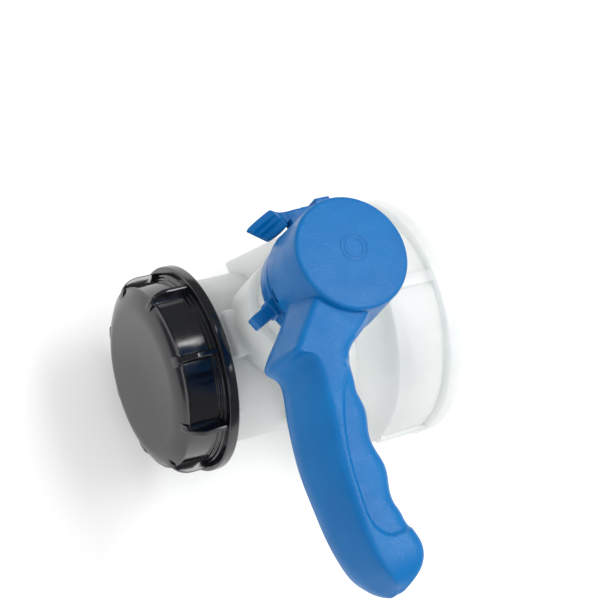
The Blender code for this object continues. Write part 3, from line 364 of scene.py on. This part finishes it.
# %% [markdown]
# ## Lofted bodies and boxes
# The grip, its pockets, the latch and the cap's ribs change their section along the way, so no
# primitive fits them. They are lofted: rings of points are bridged one to the next, and the two
# ends are filled. Plain blocks, such as the hub's square, start from a cube.


# %% Loft rings and place boxes
def lofted(rings, origin):
    """A closed body through rings of points, which all have the same number of points."""
    bm = bmesh.new()
    loops = []
    for ring in rings:
        verts = [bm.verts.new(Vector(point) * MM + origin) for point in ring]
        loops.append([bm.edges.new(pair) for pair in zip(verts, verts[1:] + verts[:1])])
    for here, following in zip(loops, loops[1:]):
        bmesh.ops.bridge_loops(bm, edges=here + following)
    for end in (loops[0], loops[-1]):
        lid = bmesh.ops.edgeloop_fill(bm, edges=end)["faces"]
        bmesh.ops.triangulate(bm, faces=lid)
    bmesh.ops.recalc_face_normals(bm, faces=bm.faces)
    return bm


def box(low, high, turn=0.0):
    """A box between two corners, measured from the spindle and turned about it in degrees."""
    bm = bmesh.new()
    low, high = Vector(low) * MM, Vector(high) * MM
    bmesh.ops.create_cube(bm, size=1.0)
    bmesh.ops.scale(bm, vec=high - low, verts=bm.verts)
    bmesh.ops.translate(bm, vec=(low + high) / 2, verts=bm.verts)
    about = Matrix.Rotation(radians(turn), 3, "Z")
    bmesh.ops.rotate(bm, cent=(0, 0, 0), matrix=about, verts=bm.verts)
    bmesh.ops.translate(bm, vec=SPINDLE, verts=bm.verts)
    return bm


trial = lofted([[(0, 0, z), (1, 0, z), (0, 1, z)] for z in (0, 1, 2)], SPINDLE)
print("a loft through three triangles has", len(trial.faces), "faces")
trial.free()

# %% [markdown]
# ## Joining, cutting and shading
# A Boolean modifier joins or cuts closed bodies as a toolmaker's cutter does. It is applied at
# once, so each piece ends as one plain mesh at the origin. Faces are shaded smooth, and edges that
# turn by more than 32 degrees stay crisp.

# %% From bmesh to finished object
CRISP_TURN = radians(32)


def joined(parts):
    """Several bmeshes in one, side by side."""
    whole = bmesh.new()
    for part in parts:
        mesh = bpy.data.meshes.new("part")
        part.to_mesh(mesh)
        part.free()
        whole.from_mesh(mesh)
        bpy.data.meshes.remove(mesh)
    return whole


def as_object(name, bm):
    """Makes a bmesh an object of the scene."""
    bmesh.ops.recalc_face_normals(bm, faces=bm.faces)
    mesh = bpy.data.meshes.new(name)
    bm.to_mesh(mesh)
    bm.free()
    obj = bpy.data.objects.new(name, mesh)
    bpy.context.scene.collection.objects.link(obj)
    return obj


def combined(target, bm, operation):
    """Joins a bmesh to an object or cuts it away, and applies the Boolean."""
    tool = as_object("tool", bm)
    modifier = target.modifiers.new("combine", "BOOLEAN")
    modifier.operation = operation
    modifier.object = tool
    graph = bpy.context.evaluated_depsgraph_get()
    mesh = bpy.data.meshes.new_from_object(target.evaluated_get(graph))
    target.modifiers.clear()
    old = target.data
    target.data = mesh
    bpy.data.meshes.remove(old)
    bpy.data.objects.remove(tool)
    return target


def coat(obj, material):
    """Gives a piece its one material and its shading."""
    obj.data.materials.clear()
    obj.data.materials.append(material)
    obj.data.shade_smooth()
    obj.data.set_sharp_from_angle(angle=CRISP_TURN)


print("edges stay crisp past", round(CRISP_TURN * 180 / pi), "degrees")

# %% [markdown]
# ## The lever's plan curves
# The lever is one moulding: a round head with a skirt, and a grip that bends away from it. Three
# plan curves carry the grip: the left edge, the right edge with its finger waves, and the crease
# between the top and the slanted left side. The CAD solid is shaped by the same curves; here they
# are followed in finer steps, so that no facet shows.

# %% Curves of the grip
LEFT_EDGE = (
    (-14.5, 0), (-25, -13.7), (-34.2, -23.9), (-36.2, -28), (-32.6, -33.6), (-35.4, -48),
    (-37.2, -62), (-37.1, -76), (-36.2, -89), (-33.6, -100), (-28.9, -107), (-24.8, -110.6),
)
RIGHT_EDGE = (
    (14, -6), (1, -21.8), (-9.3, -29.6), (-11.6, -33.4), (-12.8, -38), (-13.9, -50),
    (-14.4, -63), (-14.7, -76), (-14.4, -88), (-12, -98), (-14.4, -104.9), (-20.8, -109.9),
)
CREASE = (
    (-9.5, -3), (-21, -15.5), (-28.3, -24.2), (-30.6, -27.4), (-25, -31.8), (-26.3, -48.5),
    (-28.7, -62.5), (-30.1, -76), (-30.6, -89), (-29.6, -99.3), (-26.4, -105.6), (-23.8, -109.2),
)
WAVE_START_Y, WAVE_END_Y, WAVE_FADE = -42.0, -89.0, 5.0
WAVE_HEIGHT, WAVE_PITCH, WAVE_CREST_Y = 0.9, 20.0, -51.5


def clamp(value, low=0.0, high=1.0):
    return min(max(value, low), high)


def along_edge(points, place):
    """A smooth curve through points: place 2.5 lies halfway between the third and the fourth."""
    last = len(points) - 1
    index = min(int(place), last - 1)
    part = place - index
    before, here, after, beyond = (
        Vector(points[min(max(index + step, 0), last)]) for step in (-1, 0, 1, 2)
    )
    bend = 2 * before - 5 * here + 4 * after - beyond
    twist = 3 * (here - after) + beyond - before
    return 0.5 * (2 * here + (after - before) * part + bend * part**2 + twist * part**3)


def finger_wave(y):
    """How far the finger side swells out at a place along the grip."""
    fade = clamp(min(WAVE_START_Y - y, y - WAVE_END_Y) / WAVE_FADE)
    return WAVE_HEIGHT * cos(2 * pi * (y - WAVE_CREST_Y) / WAVE_PITCH) * fade


def edges_at(place):
    """The left edge, the right edge, the crease and the direction across, at one place."""
    left, right = along_edge(LEFT_EDGE, place), along_edge(RIGHT_EDGE, place)
    right.x += finger_wave(right.y)
    return left, right, along_edge(CREASE, place), (right - left).normalized()


print("the grip runs to y", along_edge(LEFT_EDGE, len(LEFT_EDGE) - 1.0).y, "mm")

# %% [markdown]
# ## The sunk finger panel
# The grip's top is sunk a little, from a curved edge beside the crease out to the finger side. It
# could be a Boolean cut, but that would leave a hard rim. Instead each point of the top asks how
# far inside that edge it lies and sinks by a smooth step, which gives the rim its gentle slope.

# %% Depth of the panel
PANEL_EDGE = (
    (-10, -29), (-14.4, -33.2), (-19.9, -42.3), (-24.1, -52.3), (-27.1, -64), (-28.4, -75.9),
    (-28.4, -86.6), (-24.8, -92.7), (-18.5, -94), (-12, -92.2),
)
PANEL_DEPTH, PANEL_SLOPE = 1.35, 1.5
STEPS_PER_POINT = 4
PANEL_LINE = [
    along_edge(PANEL_EDGE, step / STEPS_PER_POINT)
    for step in range(STEPS_PER_POINT * (len(PANEL_EDGE) - 1) + 1)
]


def smooth_step(value):
    value = clamp(value)
    return value * value * (3 - 2 * value)


def panel_sink(point):
    """How far a point of the grip's top is sunk: full depth inside the panel, with a soft edge."""
    nearest, inside = float("inf"), False
    for start, end in zip(PANEL_LINE, PANEL_LINE[1:]):
        run = end - start
        away = point - (start + run * clamp((point - start).dot(run) / run.dot(run)))
        if away.length < nearest:
            nearest = away.length
            inside = run.x * away.y - run.y * away.x > 0
    return PANEL_DEPTH * smooth_step(nearest / PANEL_SLOPE) if inside else 0.0


print("panel at its middle is sunk", panel_sink(Vector((-20.0, -70.0))), "mm")

# %% [markdown]
# ## Sections of the grip
# A section across the grip has a flat underside, a slanted left side up to the crease, a flat top
# and an upright finger side. Its corners are rounded less where the grip is narrow. Towards the
# tip, top and underside draw together along a circle.

# %% One section across the grip
GRIP_LOW, GRIP_TOP = 75.2, 95.2
FULL_WIDTH = 22.0  # where the grip is this wide, its corners have their whole radius
TIP_START_Y, TIP_LENGTH, TIP_LIMIT = -98.0, 12.6, 0.985
TIP_DROP, TIP_RISE = 10.0, 8.0
CURVE_POINTS, TOP_STEPS = 7, 34
SINK_BELOW_TOP, SINK_BLEND = 6.0, 4.0


def grip_ring(place):
    """One section of the grip, its corners rounded and its top divided finely."""
    left, right, crease, across = edges_at(place)
    narrow = min((right - left).length / FULL_WIDTH, 1.0)
    toward_tip = clamp((TIP_START_Y - (left.y + right.y) / 2) / TIP_LENGTH, 0.0, TIP_LIMIT)
    rounding = 1.0 - (1.0 - toward_tip**2) ** 0.5
    top, low = GRIP_TOP - TIP_DROP * rounding, GRIP_LOW + TIP_RISE * rounding

    def at(plan, share):
        return Vector((plan.x, plan.y, low + (top - low) * share))

    def size(wanted):
        return wanted * narrow * (1.0 - 0.5 * rounding)

    corners = [
        (at((left + right) / 2, 0.0), 0),
        (at(left + across * 0.6 * narrow, 0.0), size(1.8)),
        (at(left, 0.27), size(2.6)),
        (at(left.lerp(crease, 0.5), 0.70), size(4.0)),
        (at(crease - across * 0.2, 1.0), size(2.2)),
        (at(right, 1.0), size(5.2)),
        (at(right, 0.0), size(2.6)),
    ]
    outline = rounded(corners, CURVE_POINTS)
    # One plain point and four curves come before the straight run of the top.
    crease_end = 4 * CURVE_POINTS
    start, end = outline[crease_end], outline[crease_end + 1]
    run = [start.lerp(end, step / TOP_STEPS) for step in range(1, TOP_STEPS)]
    outline = outline[: crease_end + 1] + run + outline[crease_end + 1 :]
    top_end = crease_end + TOP_STEPS + CURVE_POINTS
    for point in outline[crease_end - CURVE_POINTS + 1 : top_end + 1]:
        share = clamp((point.z - (top - SINK_BELOW_TOP)) / SINK_BLEND)
        point.z -= panel_sink(point.to_2d()) * share
    return outline


print("a section has", len(grip_ring(0.0)), "points")

# %% [markdown]
# ## The grip from head to tip
# Sections stand close together, so that the waves and the panel's rim run smoothly. The real tip is
# a soft dome. A flat end with a bevel would show a ring, so four shrinking sections close it.


# %% Rings from head to tip
def grip_places(apart=0.8):
    """Places on the curves, about so many millimetres apart along the grip."""
    places = []
    for index in range(len(LEFT_EDGE) - 1):
        span = (Vector(LEFT_EDGE[index + 1]) - Vector(LEFT_EDGE[index])).length
        count = max(int(span / apart), 4)
        places += [index + step / count for step in range(count)]
    return places + [len(LEFT_EDGE) - 1.0]


def domed_tip(rings):
    """Ever smaller rings past the last one; each has a share of its size and a reach in mm."""
    last, earlier = rings[-1], rings[-3]
    centre = sum(last, Vector()) / len(last)
    outward = (centre - sum(earlier, Vector()) / len(earlier)).normalized()
    return [
        [centre + (point - centre) * share + outward * reach for point in last]
        for share, reach in ((0.88, 0.35), (0.66, 0.70), (0.38, 0.92), (0.12, 1.0))
    ]


GRIP_RINGS = [grip_ring(place) for place in grip_places()]
GRIP_RINGS += domed_tip(GRIP_RINGS)
print("grip rings", len(GRIP_RINGS), "of", len(GRIP_RINGS[0]), "points")

# %% [markdown]
# ## Pockets under the grip
# A thick grip would sink and warp as it cools, so a mould cores it out from below and leaves cross
# ribs for strength. Five tapering cutters follow the same curves, a wall's thickness inside them.

# %% Cutters for the pockets
WALL, ROOF_Z, POCKET_FOOT_Z = 3.0, GRIP_TOP - 4.4, GRIP_LOW - 2.0
POCKETS, FIRST_POCKET_Y, POCKET_PITCH, POCKET_LENGTH = 5, -25.3, 15.1, 12.9
POCKET_STEPS = 8


def pocket_ring(place):
    """A section of a pocket: open below, with a sloping left side under the crease."""
    left, right, crease, across = edges_at(place)
    corners = [
        (left + across * WALL, POCKET_FOOT_Z), (left + across * WALL, GRIP_LOW + 8.0),
        (crease + across * 2, ROOF_Z), (right - across * 5, ROOF_Z),
        (right - across * WALL, GRIP_LOW + 12.0), (right - across * WALL, POCKET_FOOT_Z),
    ]
    sized = [(Vector((plan.x, plan.y, z)), 0 if z < GRIP_LOW else 1.2) for plan, z in corners]
    return rounded(sized, 4)


def place_at(y):
    """The place on the curves where the left edge reaches y, found by halving."""
    low, high = 0.0, len(LEFT_EDGE) - 1.0
    for _ in range(20):
        middle = (low + high) / 2
        if along_edge(LEFT_EDGE, middle).y > y:
            low = middle
        else:
            high = middle
    return low


def pocket(start_y):
    levels = [start_y - POCKET_LENGTH * step / POCKET_STEPS for step in range(POCKET_STEPS + 1)]
    return lofted([pocket_ring(place_at(y)) for y in levels], SPINDLE)


print("the first pocket starts at place", round(place_at(FIRST_POCKET_Y), 2))

# %% [markdown]
# ## The lever in one piece
# The head is turned round the spindle as a hollow cup with a skirt and a hub. The grip is joined
# to it, and the pockets, the hub's square and the two notches for the latch are cut out. The
# notches stand a quarter turn apart, so that the latch holds the lever closed and open.

# %% Head, grip and cuts
HEAD_R, SKIRT_R, SKIRT_Z, FACE_Z = 20.6, 21.8, 74.2, 98.2
HEAD_ROOF_Z, HUB_R, HUB_Z = FACE_Z - 4.0, 10.0, 70.9
SQUARE_HOLE = ((-4.5, -4.5, 68.0), (4.5, 4.5, 90.9))
NOTCH = ((-4.6, 17.2, 72.2), (0.6, 23.8, 75.7))


def handle_moulding():
    cup = profile(
        (FACE_Z, 0, 0), (FACE_Z, HEAD_R, 1.5), (SKIRT_Z, SKIRT_R, 0.5),
        (SKIRT_Z, SKIRT_R - 2.6, 0.4), (HEAD_ROOF_Z, SKIRT_R - 4.0, 1.6),
        (HEAD_ROOF_Z, HUB_R, 0.8), (HUB_Z, HUB_R, 0.4), (HUB_Z, 0, 0),
    )
    made = as_object("handle_moulding", turned(cup, SPINDLE))
    made = combined(made, lofted(GRIP_RINGS, SPINDLE), "UNION")
    cutters = [pocket(FIRST_POCKET_Y - POCKET_PITCH * index) for index in range(POCKETS)]
    cutters.append(box(*SQUARE_HOLE))
    cutters += [box(*NOTCH, turn=turn) for turn in (0.0, 90.0)]
    return combined(made, joined(cutters), "DIFFERENCE")


handle = handle_moulding()
coat(handle, GRAINED)
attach(handle, "handle")
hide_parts("handle")
print("handle faces", len(handle.data.polygons))

# %% [markdown]
# ## The mark on the head
# A real lever carries a small round mark here. This one has two plain raised rings. Each is turned
# from a low, rounded bank that starts a little under the face, so that no gap shows below it.

# %% Two raised rings
MARK_X, MARK_Y, RING_RADII = 1.2, 1.4, (4.9, 3.4)
RING_SINK, RING_RISE, RING_FOOT, RING_CREST = 0.3, 0.16, 0.32, 0.22


def head_mark():
    centre = SPINDLE + Vector((MARK_X, MARK_Y, 0)) * MM
    foot_z, crest_z = FACE_Z - RING_SINK, FACE_Z + RING_RISE
    banks = []
    for radius in RING_RADII:
        bank = profile(
            (foot_z, radius - RING_FOOT, 0), (crest_z, radius - RING_CREST, 0.12),
            (crest_z, radius + RING_CREST, 0.12), (foot_z, radius + RING_FOOT, 0),
        )
        banks.append(turned(bank, centre, steps=72))
    return as_object("head_mark", joined(banks))


mark = head_mark()
coat(mark, FINISHES["blue_polypropylene"])
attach(mark, "handle")
print("mark faces", len(mark.data.polygons))

# %% [markdown]
# ## The latch's arm and thumb pad
# The latch is a small lever beside the big one. Its arm runs back from a pin and swells into a
# thumb pad, which rises to a crest, falls away as a ramp and has two shallow grooves for grip. It
# is a loft again, but each station also says how it is turned, how far it reaches and how deep the
# grooves are there, so that arm and pad flow into each other without a seam.

# %% Stations from the pin to the pad's end
# Each station: x, y, turn in degrees, reach outwards and inwards, underside, top, groove depth.
LATCH_STATIONS = (
    (8.1, 26.5, 180, 2.1, 2.1, 67.0, 71.9, 0), (4.0, 26.5, 180, 2.1, 2.1, 67.0, 71.9, 0),
    (0.0, 26.5, 180, 2.1, 2.1, 67.0, 71.9, 0), (-3.0, 26.45, 184, 2.1, 2.1, 67.0, 71.5, 0),
    (-5.0, 26.3, 196, 2.6, 2.4, 67.0, 71.2, 0), (-6.3, 25.9, 207, 3.8, 3.0, 66.9, 71.8, 0),
    (-7.3, 25.5, 212, 5.0, 3.2, 66.7, 72.8, 0), (-8.0, 25.2, 213, 5.3, 3.3, 66.7, 72.6, 0.3),
    (-10.2, 24.3, 218, 5.4, 3.5, 66.7, 71.7, 0.8), (-12.4, 23.4, 223, 5.5, 3.6, 66.7, 70.7, 0.9),
    (-14.6, 22.55, 228, 5.4, 3.6, 66.8, 69.6, 0.9), (-15.3, 22.2, 230, 5.0, 3.2, 67.2, 69.0, 0.8),
)
STATION_STEPS, PAD_CURVE, PAD_STEPS = 5, 5, 28
GROOVES, GROOVE_WIDTH = (0.36, 0.68), 0.13  # shares of the pad's width


def groove(share):
    """How deep the two grooves are, from 0 to 1, at a share of the pad's width."""
    away = min(abs(share - middle) for middle in GROOVES) / GROOVE_WIDTH
    return max(1 - away**2, 0.0) ** 2


def latch_ring(place):
    """One section across the arm or the pad, with a finely divided top."""
    x, y, turn, outward, inward, low, top, depth = along_edge(LATCH_STATIONS, place)
    out = Vector((sin(radians(turn)), -cos(radians(turn)), 0))
    foot, head = Vector((x, y, low)), Vector((x, y, top))
    corners = [
        (foot, 0), (foot + out * outward, 0.5), (head + out * outward, 0.7),
        (head - out * inward, 0.7), (foot - out * inward, 0.5),
    ]
    outline = rounded(corners, PAD_CURVE)
    # One plain point and two curves come before the straight run of the top.
    top_start = 2 * PAD_CURVE
    start, end = outline[top_start], outline[top_start + 1]
    run = [start.lerp(end, step / PAD_STEPS) for step in range(1, PAD_STEPS)]
    for step, point in enumerate(run, 1):
        point.z -= depth * groove(step / PAD_STEPS)
    return outline[: top_start + 1] + run + outline[top_start + 1 :]


LATCH_PLACES = [
    step / STATION_STEPS for step in range(STATION_STEPS * (len(LATCH_STATIONS) - 1) + 1)
]
print("latch rings", len(LATCH_PLACES))

# %% [markdown]
# ## The latch in one piece
# A boss turns on the steel pin, a neck ties it to the arm, and a tooth on the inner side stands in
# the skirt's notch. The pin's hole and a slot for the spring's leg are cut last, as a drill and a
# mill would do it.

# %% Boss, neck, tooth and cuts
PIN_X, PIN_Z, ARM_NEAR_Y, ARM_Z = 12.0, 68.5, 24.4, 67.0
BOSS_R, PIN_HOLE_R = 2.6, 1.6
BOSS_Y = ARM_NEAR_Y + 1.7
TOOTH = ((-4.0, 19.8, 68.2), (0.0, ARM_NEAR_Y + 0.3, 73.9))
NECK = ((7.8, ARM_NEAR_Y + 0.05, PIN_Z - 1.9), (PIN_X, BOSS_Y, PIN_Z + 2.1))
SPRING_SLOT = ((PIN_X - 9.0, BOSS_Y, 66.0), (PIN_X, 30.0, ARM_Z + 1.2))


def round_bar(radius, low_y, high_y):
    """A round bar along the latch's pin."""
    bm = bmesh.new()
    bmesh.ops.create_cone(
        bm, cap_ends=True, segments=40, radius1=radius * MM, radius2=radius * MM,
        depth=(high_y - low_y) * MM,
    )
    across = Matrix.Rotation(radians(90), 3, "X")
    bmesh.ops.rotate(bm, cent=(0, 0, 0), matrix=across, verts=bm.verts)
    place = Vector((PIN_X, (low_y + high_y) / 2, PIN_Z)) * MM + SPINDLE
    bmesh.ops.translate(bm, vec=place, verts=bm.verts)
    return bm


def latch_moulding():
    arm = lofted([latch_ring(place) for place in LATCH_PLACES], SPINDLE)
    made = as_object("latch_moulding", arm)
    for shape in (box(*TOOTH), box(*NECK), round_bar(BOSS_R, ARM_NEAR_Y, BOSS_Y)):
        made = combined(made, shape, "UNION")
    for cutter in (box(*SPRING_SLOT), round_bar(PIN_HOLE_R, 20.0, 32.0)):
        made = combined(made, cutter, "DIFFERENCE")
    return made


latch = latch_moulding()
coat(latch, FINISHES["blue_polypropylene"])
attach(latch, "latch")
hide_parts("latch_lever")
print("latch faces", len(latch.data.polygons))

# %% [markdown]
# ## The cap's grip ribs
# Eight ribs let a hand turn the cap. Each starts as a nose on the cap's rounded front edge, arches
# up to its crest and runs straight back to the flange. A box with bevels would end in a hard corner
# at the nose, so the rib is lofted sideways: every ring is its whole long outline at one distance
# from its middle, lower and lower towards the foot's fillet.

# %% One rib
OUTLET_X = SPINDLE_X / MM - 42.6
CAP_X = OUTLET_X - 6.1
CAP_END_X = CAP_X + 21.2
FLANGE_X = CAP_END_X - 4.0
RIBS, FIRST_RIB = 8, -9.0
NOSE_X, NOSE_R, ARCH_LENGTH, CREST_R = CAP_X + 1.3, 31.2, 8.6, 38.5
ARCH_STEPS, RIB_LOW_R, RIB_ROOT_R = 12, 31.1, 31.0
# Half the section: distance from the middle, drop below the crest, radius that it never passes.
RIB_FLANK = (
    (-2.0, 0.3, 34.2), (-1.5, 0.3, 34.75), (-1.1, 0.3, 35.5), (-1.0, 0.3, CREST_R),
    (-0.7, 0.0, CREST_R),
)


def cap_rib(angle):
    """One rib, turned round the cap by so many degrees."""
    turns = [radians(90 * step / ARCH_STEPS) for step in range(ARCH_STEPS + 1)]
    crest = [
        (NOSE_X + ARCH_LENGTH * (1 - cos(turn)), NOSE_R + (CREST_R - NOSE_R) * sin(turn))
        for turn in turns
    ]
    crest.append((FLANGE_X + 0.6, CREST_R))
    mirrored = tuple((-side, drop, limit) for side, drop, limit in reversed(RIB_FLANK))
    rings = []
    for side, drop, limit in RIB_FLANK + mirrored:
        upper = [(x, side, max(min(r - drop, limit), RIB_LOW_R)) for x, r in crest]
        rings.append(upper + [(x, side, RIB_ROOT_R) for x, _ in reversed(crest)])
    bm = lofted(rings, Vector())
    about = Matrix.Rotation(-radians(angle), 3, "X")
    bmesh.ops.rotate(bm, cent=(0, 0, 0), matrix=about, verts=bm.verts)
    return bm


print("ribs", RIBS, "at", 360.0 / RIBS, "degrees")

# %% [markdown]
# ## The cap's thread
# The thread inside is one ridge that climbs as it turns. A spin with a step forwards makes such a
# screw from a single section, and its two open ends are filled afterwards.

# %% The inner thread
THREAD_X, THREAD_PITCH, THREAD_TURNS, THREAD_STEPS = OUTLET_X + 5.6, 6.0, 1.1, 64
THREAD_SECTION = ((-1.6, 31.4), (-0.6, 28.0), (0.6, 28.0), (1.6, 31.4))
THREAD_START = radians(-95)


def cap_thread():
    bm = bmesh.new()
    verts = []
    for along, radius in THREAD_SECTION:
        point = (THREAD_X + along, radius * cos(THREAD_START), radius * sin(THREAD_START))
        verts.append(bm.verts.new(Vector(point) * MM))
    edges = [bm.edges.new(pair) for pair in zip(verts, verts[1:] + verts[:1])]
    climb = THREAD_PITCH * THREAD_TURNS / THREAD_STEPS * MM
    bmesh.ops.spin(
        bm, geom=verts + edges, cent=(0, 0, 0), axis=(1, 0, 0), dvec=(climb, 0, 0),
        angle=2 * pi * THREAD_TURNS, steps=THREAD_STEPS,
    )
    bmesh.ops.holes_fill(bm, edges=bm.edges)
    in_fixed_order(bm)
    bmesh.ops.recalc_face_normals(bm, faces=bm.faces)
    return bm


print("the thread climbs", round(THREAD_PITCH * THREAD_TURNS, 2), "mm")

# %% [markdown]
# ## The cap in one piece
# The shell is turned round the flow axis: a flat face with a rounded edge, a small bead, a barrel
# with a little draft, and a stepped flange. The numbers are distances along the axis, radii and
# corner radii. Ribs and thread are then joined to it.

# %% Shell, ribs and thread
SHELL = profile(
    (CAP_X, 0, 0), (CAP_X, 28.2, 2.2), (CAP_X + 1.5, 32.2, 2.2), (CAP_X + 3.2, 34.2, 0.8),
    (CAP_X + 3.3, 34.95, 0.25), (CAP_X + 4.0, 34.95, 0.25), (CAP_X + 4.2, 34.5, 0.2),
    (FLANGE_X - 2.1, 34.7, 0.25), (FLANGE_X - 1.9, 35.5, 0.25), (FLANGE_X - 0.8, 35.6, 0.2),
    (FLANGE_X - 0.6, 36.6, 0.25), (FLANGE_X, 36.7, 0.2), (FLANGE_X, 40.0, 0.8),
    (CAP_END_X, 40.0, 0.8), (CAP_END_X, 31.6, 0.4), (CAP_END_X - 1.0, 30.6, 0.4),
    (CAP_X + 3.0, 30.6, 0.6), (CAP_X + 3.0, 0, 0),
)


def cap_moulding():
    made = as_object("cap_moulding", turned(SHELL, Vector(), axis="X", steps=192))
    ribs = [cap_rib(FIRST_RIB + 360.0 * index / RIBS) for index in range(RIBS)]
    made = combined(made, joined(ribs), "UNION")
    return combined(made, cap_thread(), "UNION")


cap = cap_moulding()
coat(cap, FINISHES["black_polypropylene"])
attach(cap, "cap")
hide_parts("outlet_cap")
print("cap faces", len(cap.data.polygons))

# %% [markdown]
# ## The solids that keep their shape
# The body, the index ring and the inner pieces are good as they come from CAD. Their triangles are
# welded, and the body and the index ring get the small radii of a mould, which catch the light on
# every edge. Modifiers do this, because the meshes themselves must stay as they are.

# %% Dress the CAD nodes
WELD, SPLIT_TURN = 0.01 * MM, radians(35)
EDGE_RADII = {"valve_body": 0.5, "index_ring": 0.25}


def dress(node, material, radius_mm):
    """Gives a CAD node its finish, smooth shading and small edge radii."""
    obj = frame["nodes"][node]
    obj.data.materials.clear()
    obj.data.materials.append(material)
    for face in obj.data.polygons:
        face.use_smooth = True
        face.material_index = 0
    weld = obj.modifiers.new("weld", "WELD")
    weld.merge_threshold = WELD
    if radius_mm:
        bevel = obj.modifiers.new("mould_radius", "BEVEL")
        bevel.width = radius_mm * MM
        bevel.segments = 2
        bevel.limit_method = "ANGLE"
        bevel.angle_limit = SPLIT_TURN
    split = obj.modifiers.new("edges", "EDGE_SPLIT")
    split.split_angle = SPLIT_TURN
    split.use_edge_sharp = False


slots = {part["node"]: part["material_slot"] for part in frame["record"]["subparts"]}
for node, slot in slots.items():
    dress(node, FINISHES[slot], EDGE_RADII.get(node, 0.0))
print("dressed", len(slots), "nodes")

# %% [markdown]
# ## The floor
# A wide pale disc lies just under the valve and takes its soft shadow. It glows a little, but only
# to the camera, so that it blends with the white backdrop and adds no light to the valve.

# %% A pale floor
FLOOR_R, FLOOR_GAP, FLOOR_GLOW = 4.0, 0.0006, 0.15


def lay_floor():
    bm = bmesh.new()
    bmesh.ops.create_circle(bm, cap_ends=True, radius=FLOOR_R, segments=96)
    obj = as_object("floor", bm)
    obj.location = (SPINDLE_X, 0, CAD_LOW.z - FLOOR_GAP)
    made = Finish(
        "pale_floor", Roughness=0.9, Specular_IOR_Level=0.2, Emission_Color=(1, 1, 1, 1),
    )
    made.drift_shade(400, "F2F2F2", "F5F5F5", detail=2.0)
    seen = add_node(made.tree, "ShaderNodeLightPath").outputs["Is Camera Ray"]
    glow = add_node(made.tree, "ShaderNodeMapRange", Value=seen, To_Max=FLOOR_GLOW)
    made.tree.links.new(glow.outputs["Result"], made.shader.inputs["Emission Strength"])
    obj.data.materials.append(made.material)


lay_floor()
print("floor at z", round(CAD_LOW.z - FLOOR_GAP, 4), "m")

# %% [markdown]
# ## The light
# One large softbox overhead gives the lever its sheen and the cap its highlight; a small one in
# front lifts the near side. The world fills the shadows. It is white to the camera, a soft fill to
# the surfaces, and dim to reflections, because the photographed cap mirrors a dark room.

# %% Softboxes and world
CENTRE = Vector((SPINDLE_X, -0.02, 0.03))
FILL, FILL_IN_REFLECTIONS, WHITE = 0.85, 0.2, 1.0


def softbox(name, direction, distance, size, power):
    """A rectangular lamp that looks at the valve's centre."""
    light = bpy.data.lights.new(name, "AREA")
    light.shape = "RECTANGLE"
    light.size, light.size_y = size
    light.energy = power
    obj = bpy.data.objects.new(name, light)
    bpy.context.scene.collection.objects.link(obj)
    offset = Vector(direction).normalized()
    obj.location = CENTRE + offset * distance
    obj.rotation_euler = offset.to_track_quat("Z", "Y").to_euler()


def studio_world():
    """A white backdrop whose strength depends on what kind of ray meets it."""
    world = bpy.data.worlds.new("studio")
    world.use_nodes = True
    tree = world.node_tree
    background = tree.nodes["Background"]
    background.inputs["Color"].default_value = (1, 1, 1, 1)
    ray = add_node(tree, "ShaderNodeLightPath").outputs
    fill = add_node(
        tree, "ShaderNodeMapRange",
        Value=ray["Is Glossy Ray"], To_Min=FILL, To_Max=FILL_IN_REFLECTIONS,
    )
    backdrop = add_node(
        tree, "ShaderNodeMapRange",
        Value=ray["Is Camera Ray"], To_Min=fill.outputs["Result"], To_Max=WHITE,
    )
    tree.links.new(backdrop.outputs["Result"], background.inputs["Strength"])
    return world


softbox("overhead", (0.358, -0.037, 0.933), 1.09, (0.84, 0.34), 6.4)
softbox("front", (-0.2, -0.9, 0.9), 1.2, (0.4, 0.4), 1.0)
bpy.context.scene.world = studio_world()
bpy.context.scene.view_settings.view_transform = "Standard"

# %% [markdown]
# ## The camera
# The photograph looks down on the lever from the outlet's side, with the camera rolled. Its place
# and directions were fitted to the outlines of the cap, the collar and the lever. The long lens
# keeps near and far pieces at nearly the same scale, as the photograph does.

# %% The photograph's view
VIEW_RIGHT, VIEW_FORWARD = Vector((0.867, -0.3454, 0.360)), Vector((0.454, 0.2463, -0.857))
VIEW_PLACE = Vector((SPINDLE_X - 0.2466, -0.1323, 0.5161))


def photo_camera():
    data = bpy.data.cameras.new("camera")
    data.lens, data.sensor_width = 90.0, 36.0
    data.clip_start, data.clip_end = 0.02, 20.0
    obj = bpy.data.objects.new("camera", data)
    bpy.context.scene.collection.objects.link(obj)
    right = VIEW_RIGHT.normalized()
    forward = (VIEW_FORWARD - right * VIEW_FORWARD.dot(right)).normalized()
    turn = Matrix((right, right.cross(forward), -forward)).transposed().to_4x4()
    obj.matrix_world = Matrix.Translation(VIEW_PLACE) @ turn
    return obj


bpy.context.scene.camera = photo_camera()
print("camera", [round(c, 3) for c in VIEW_PLACE])
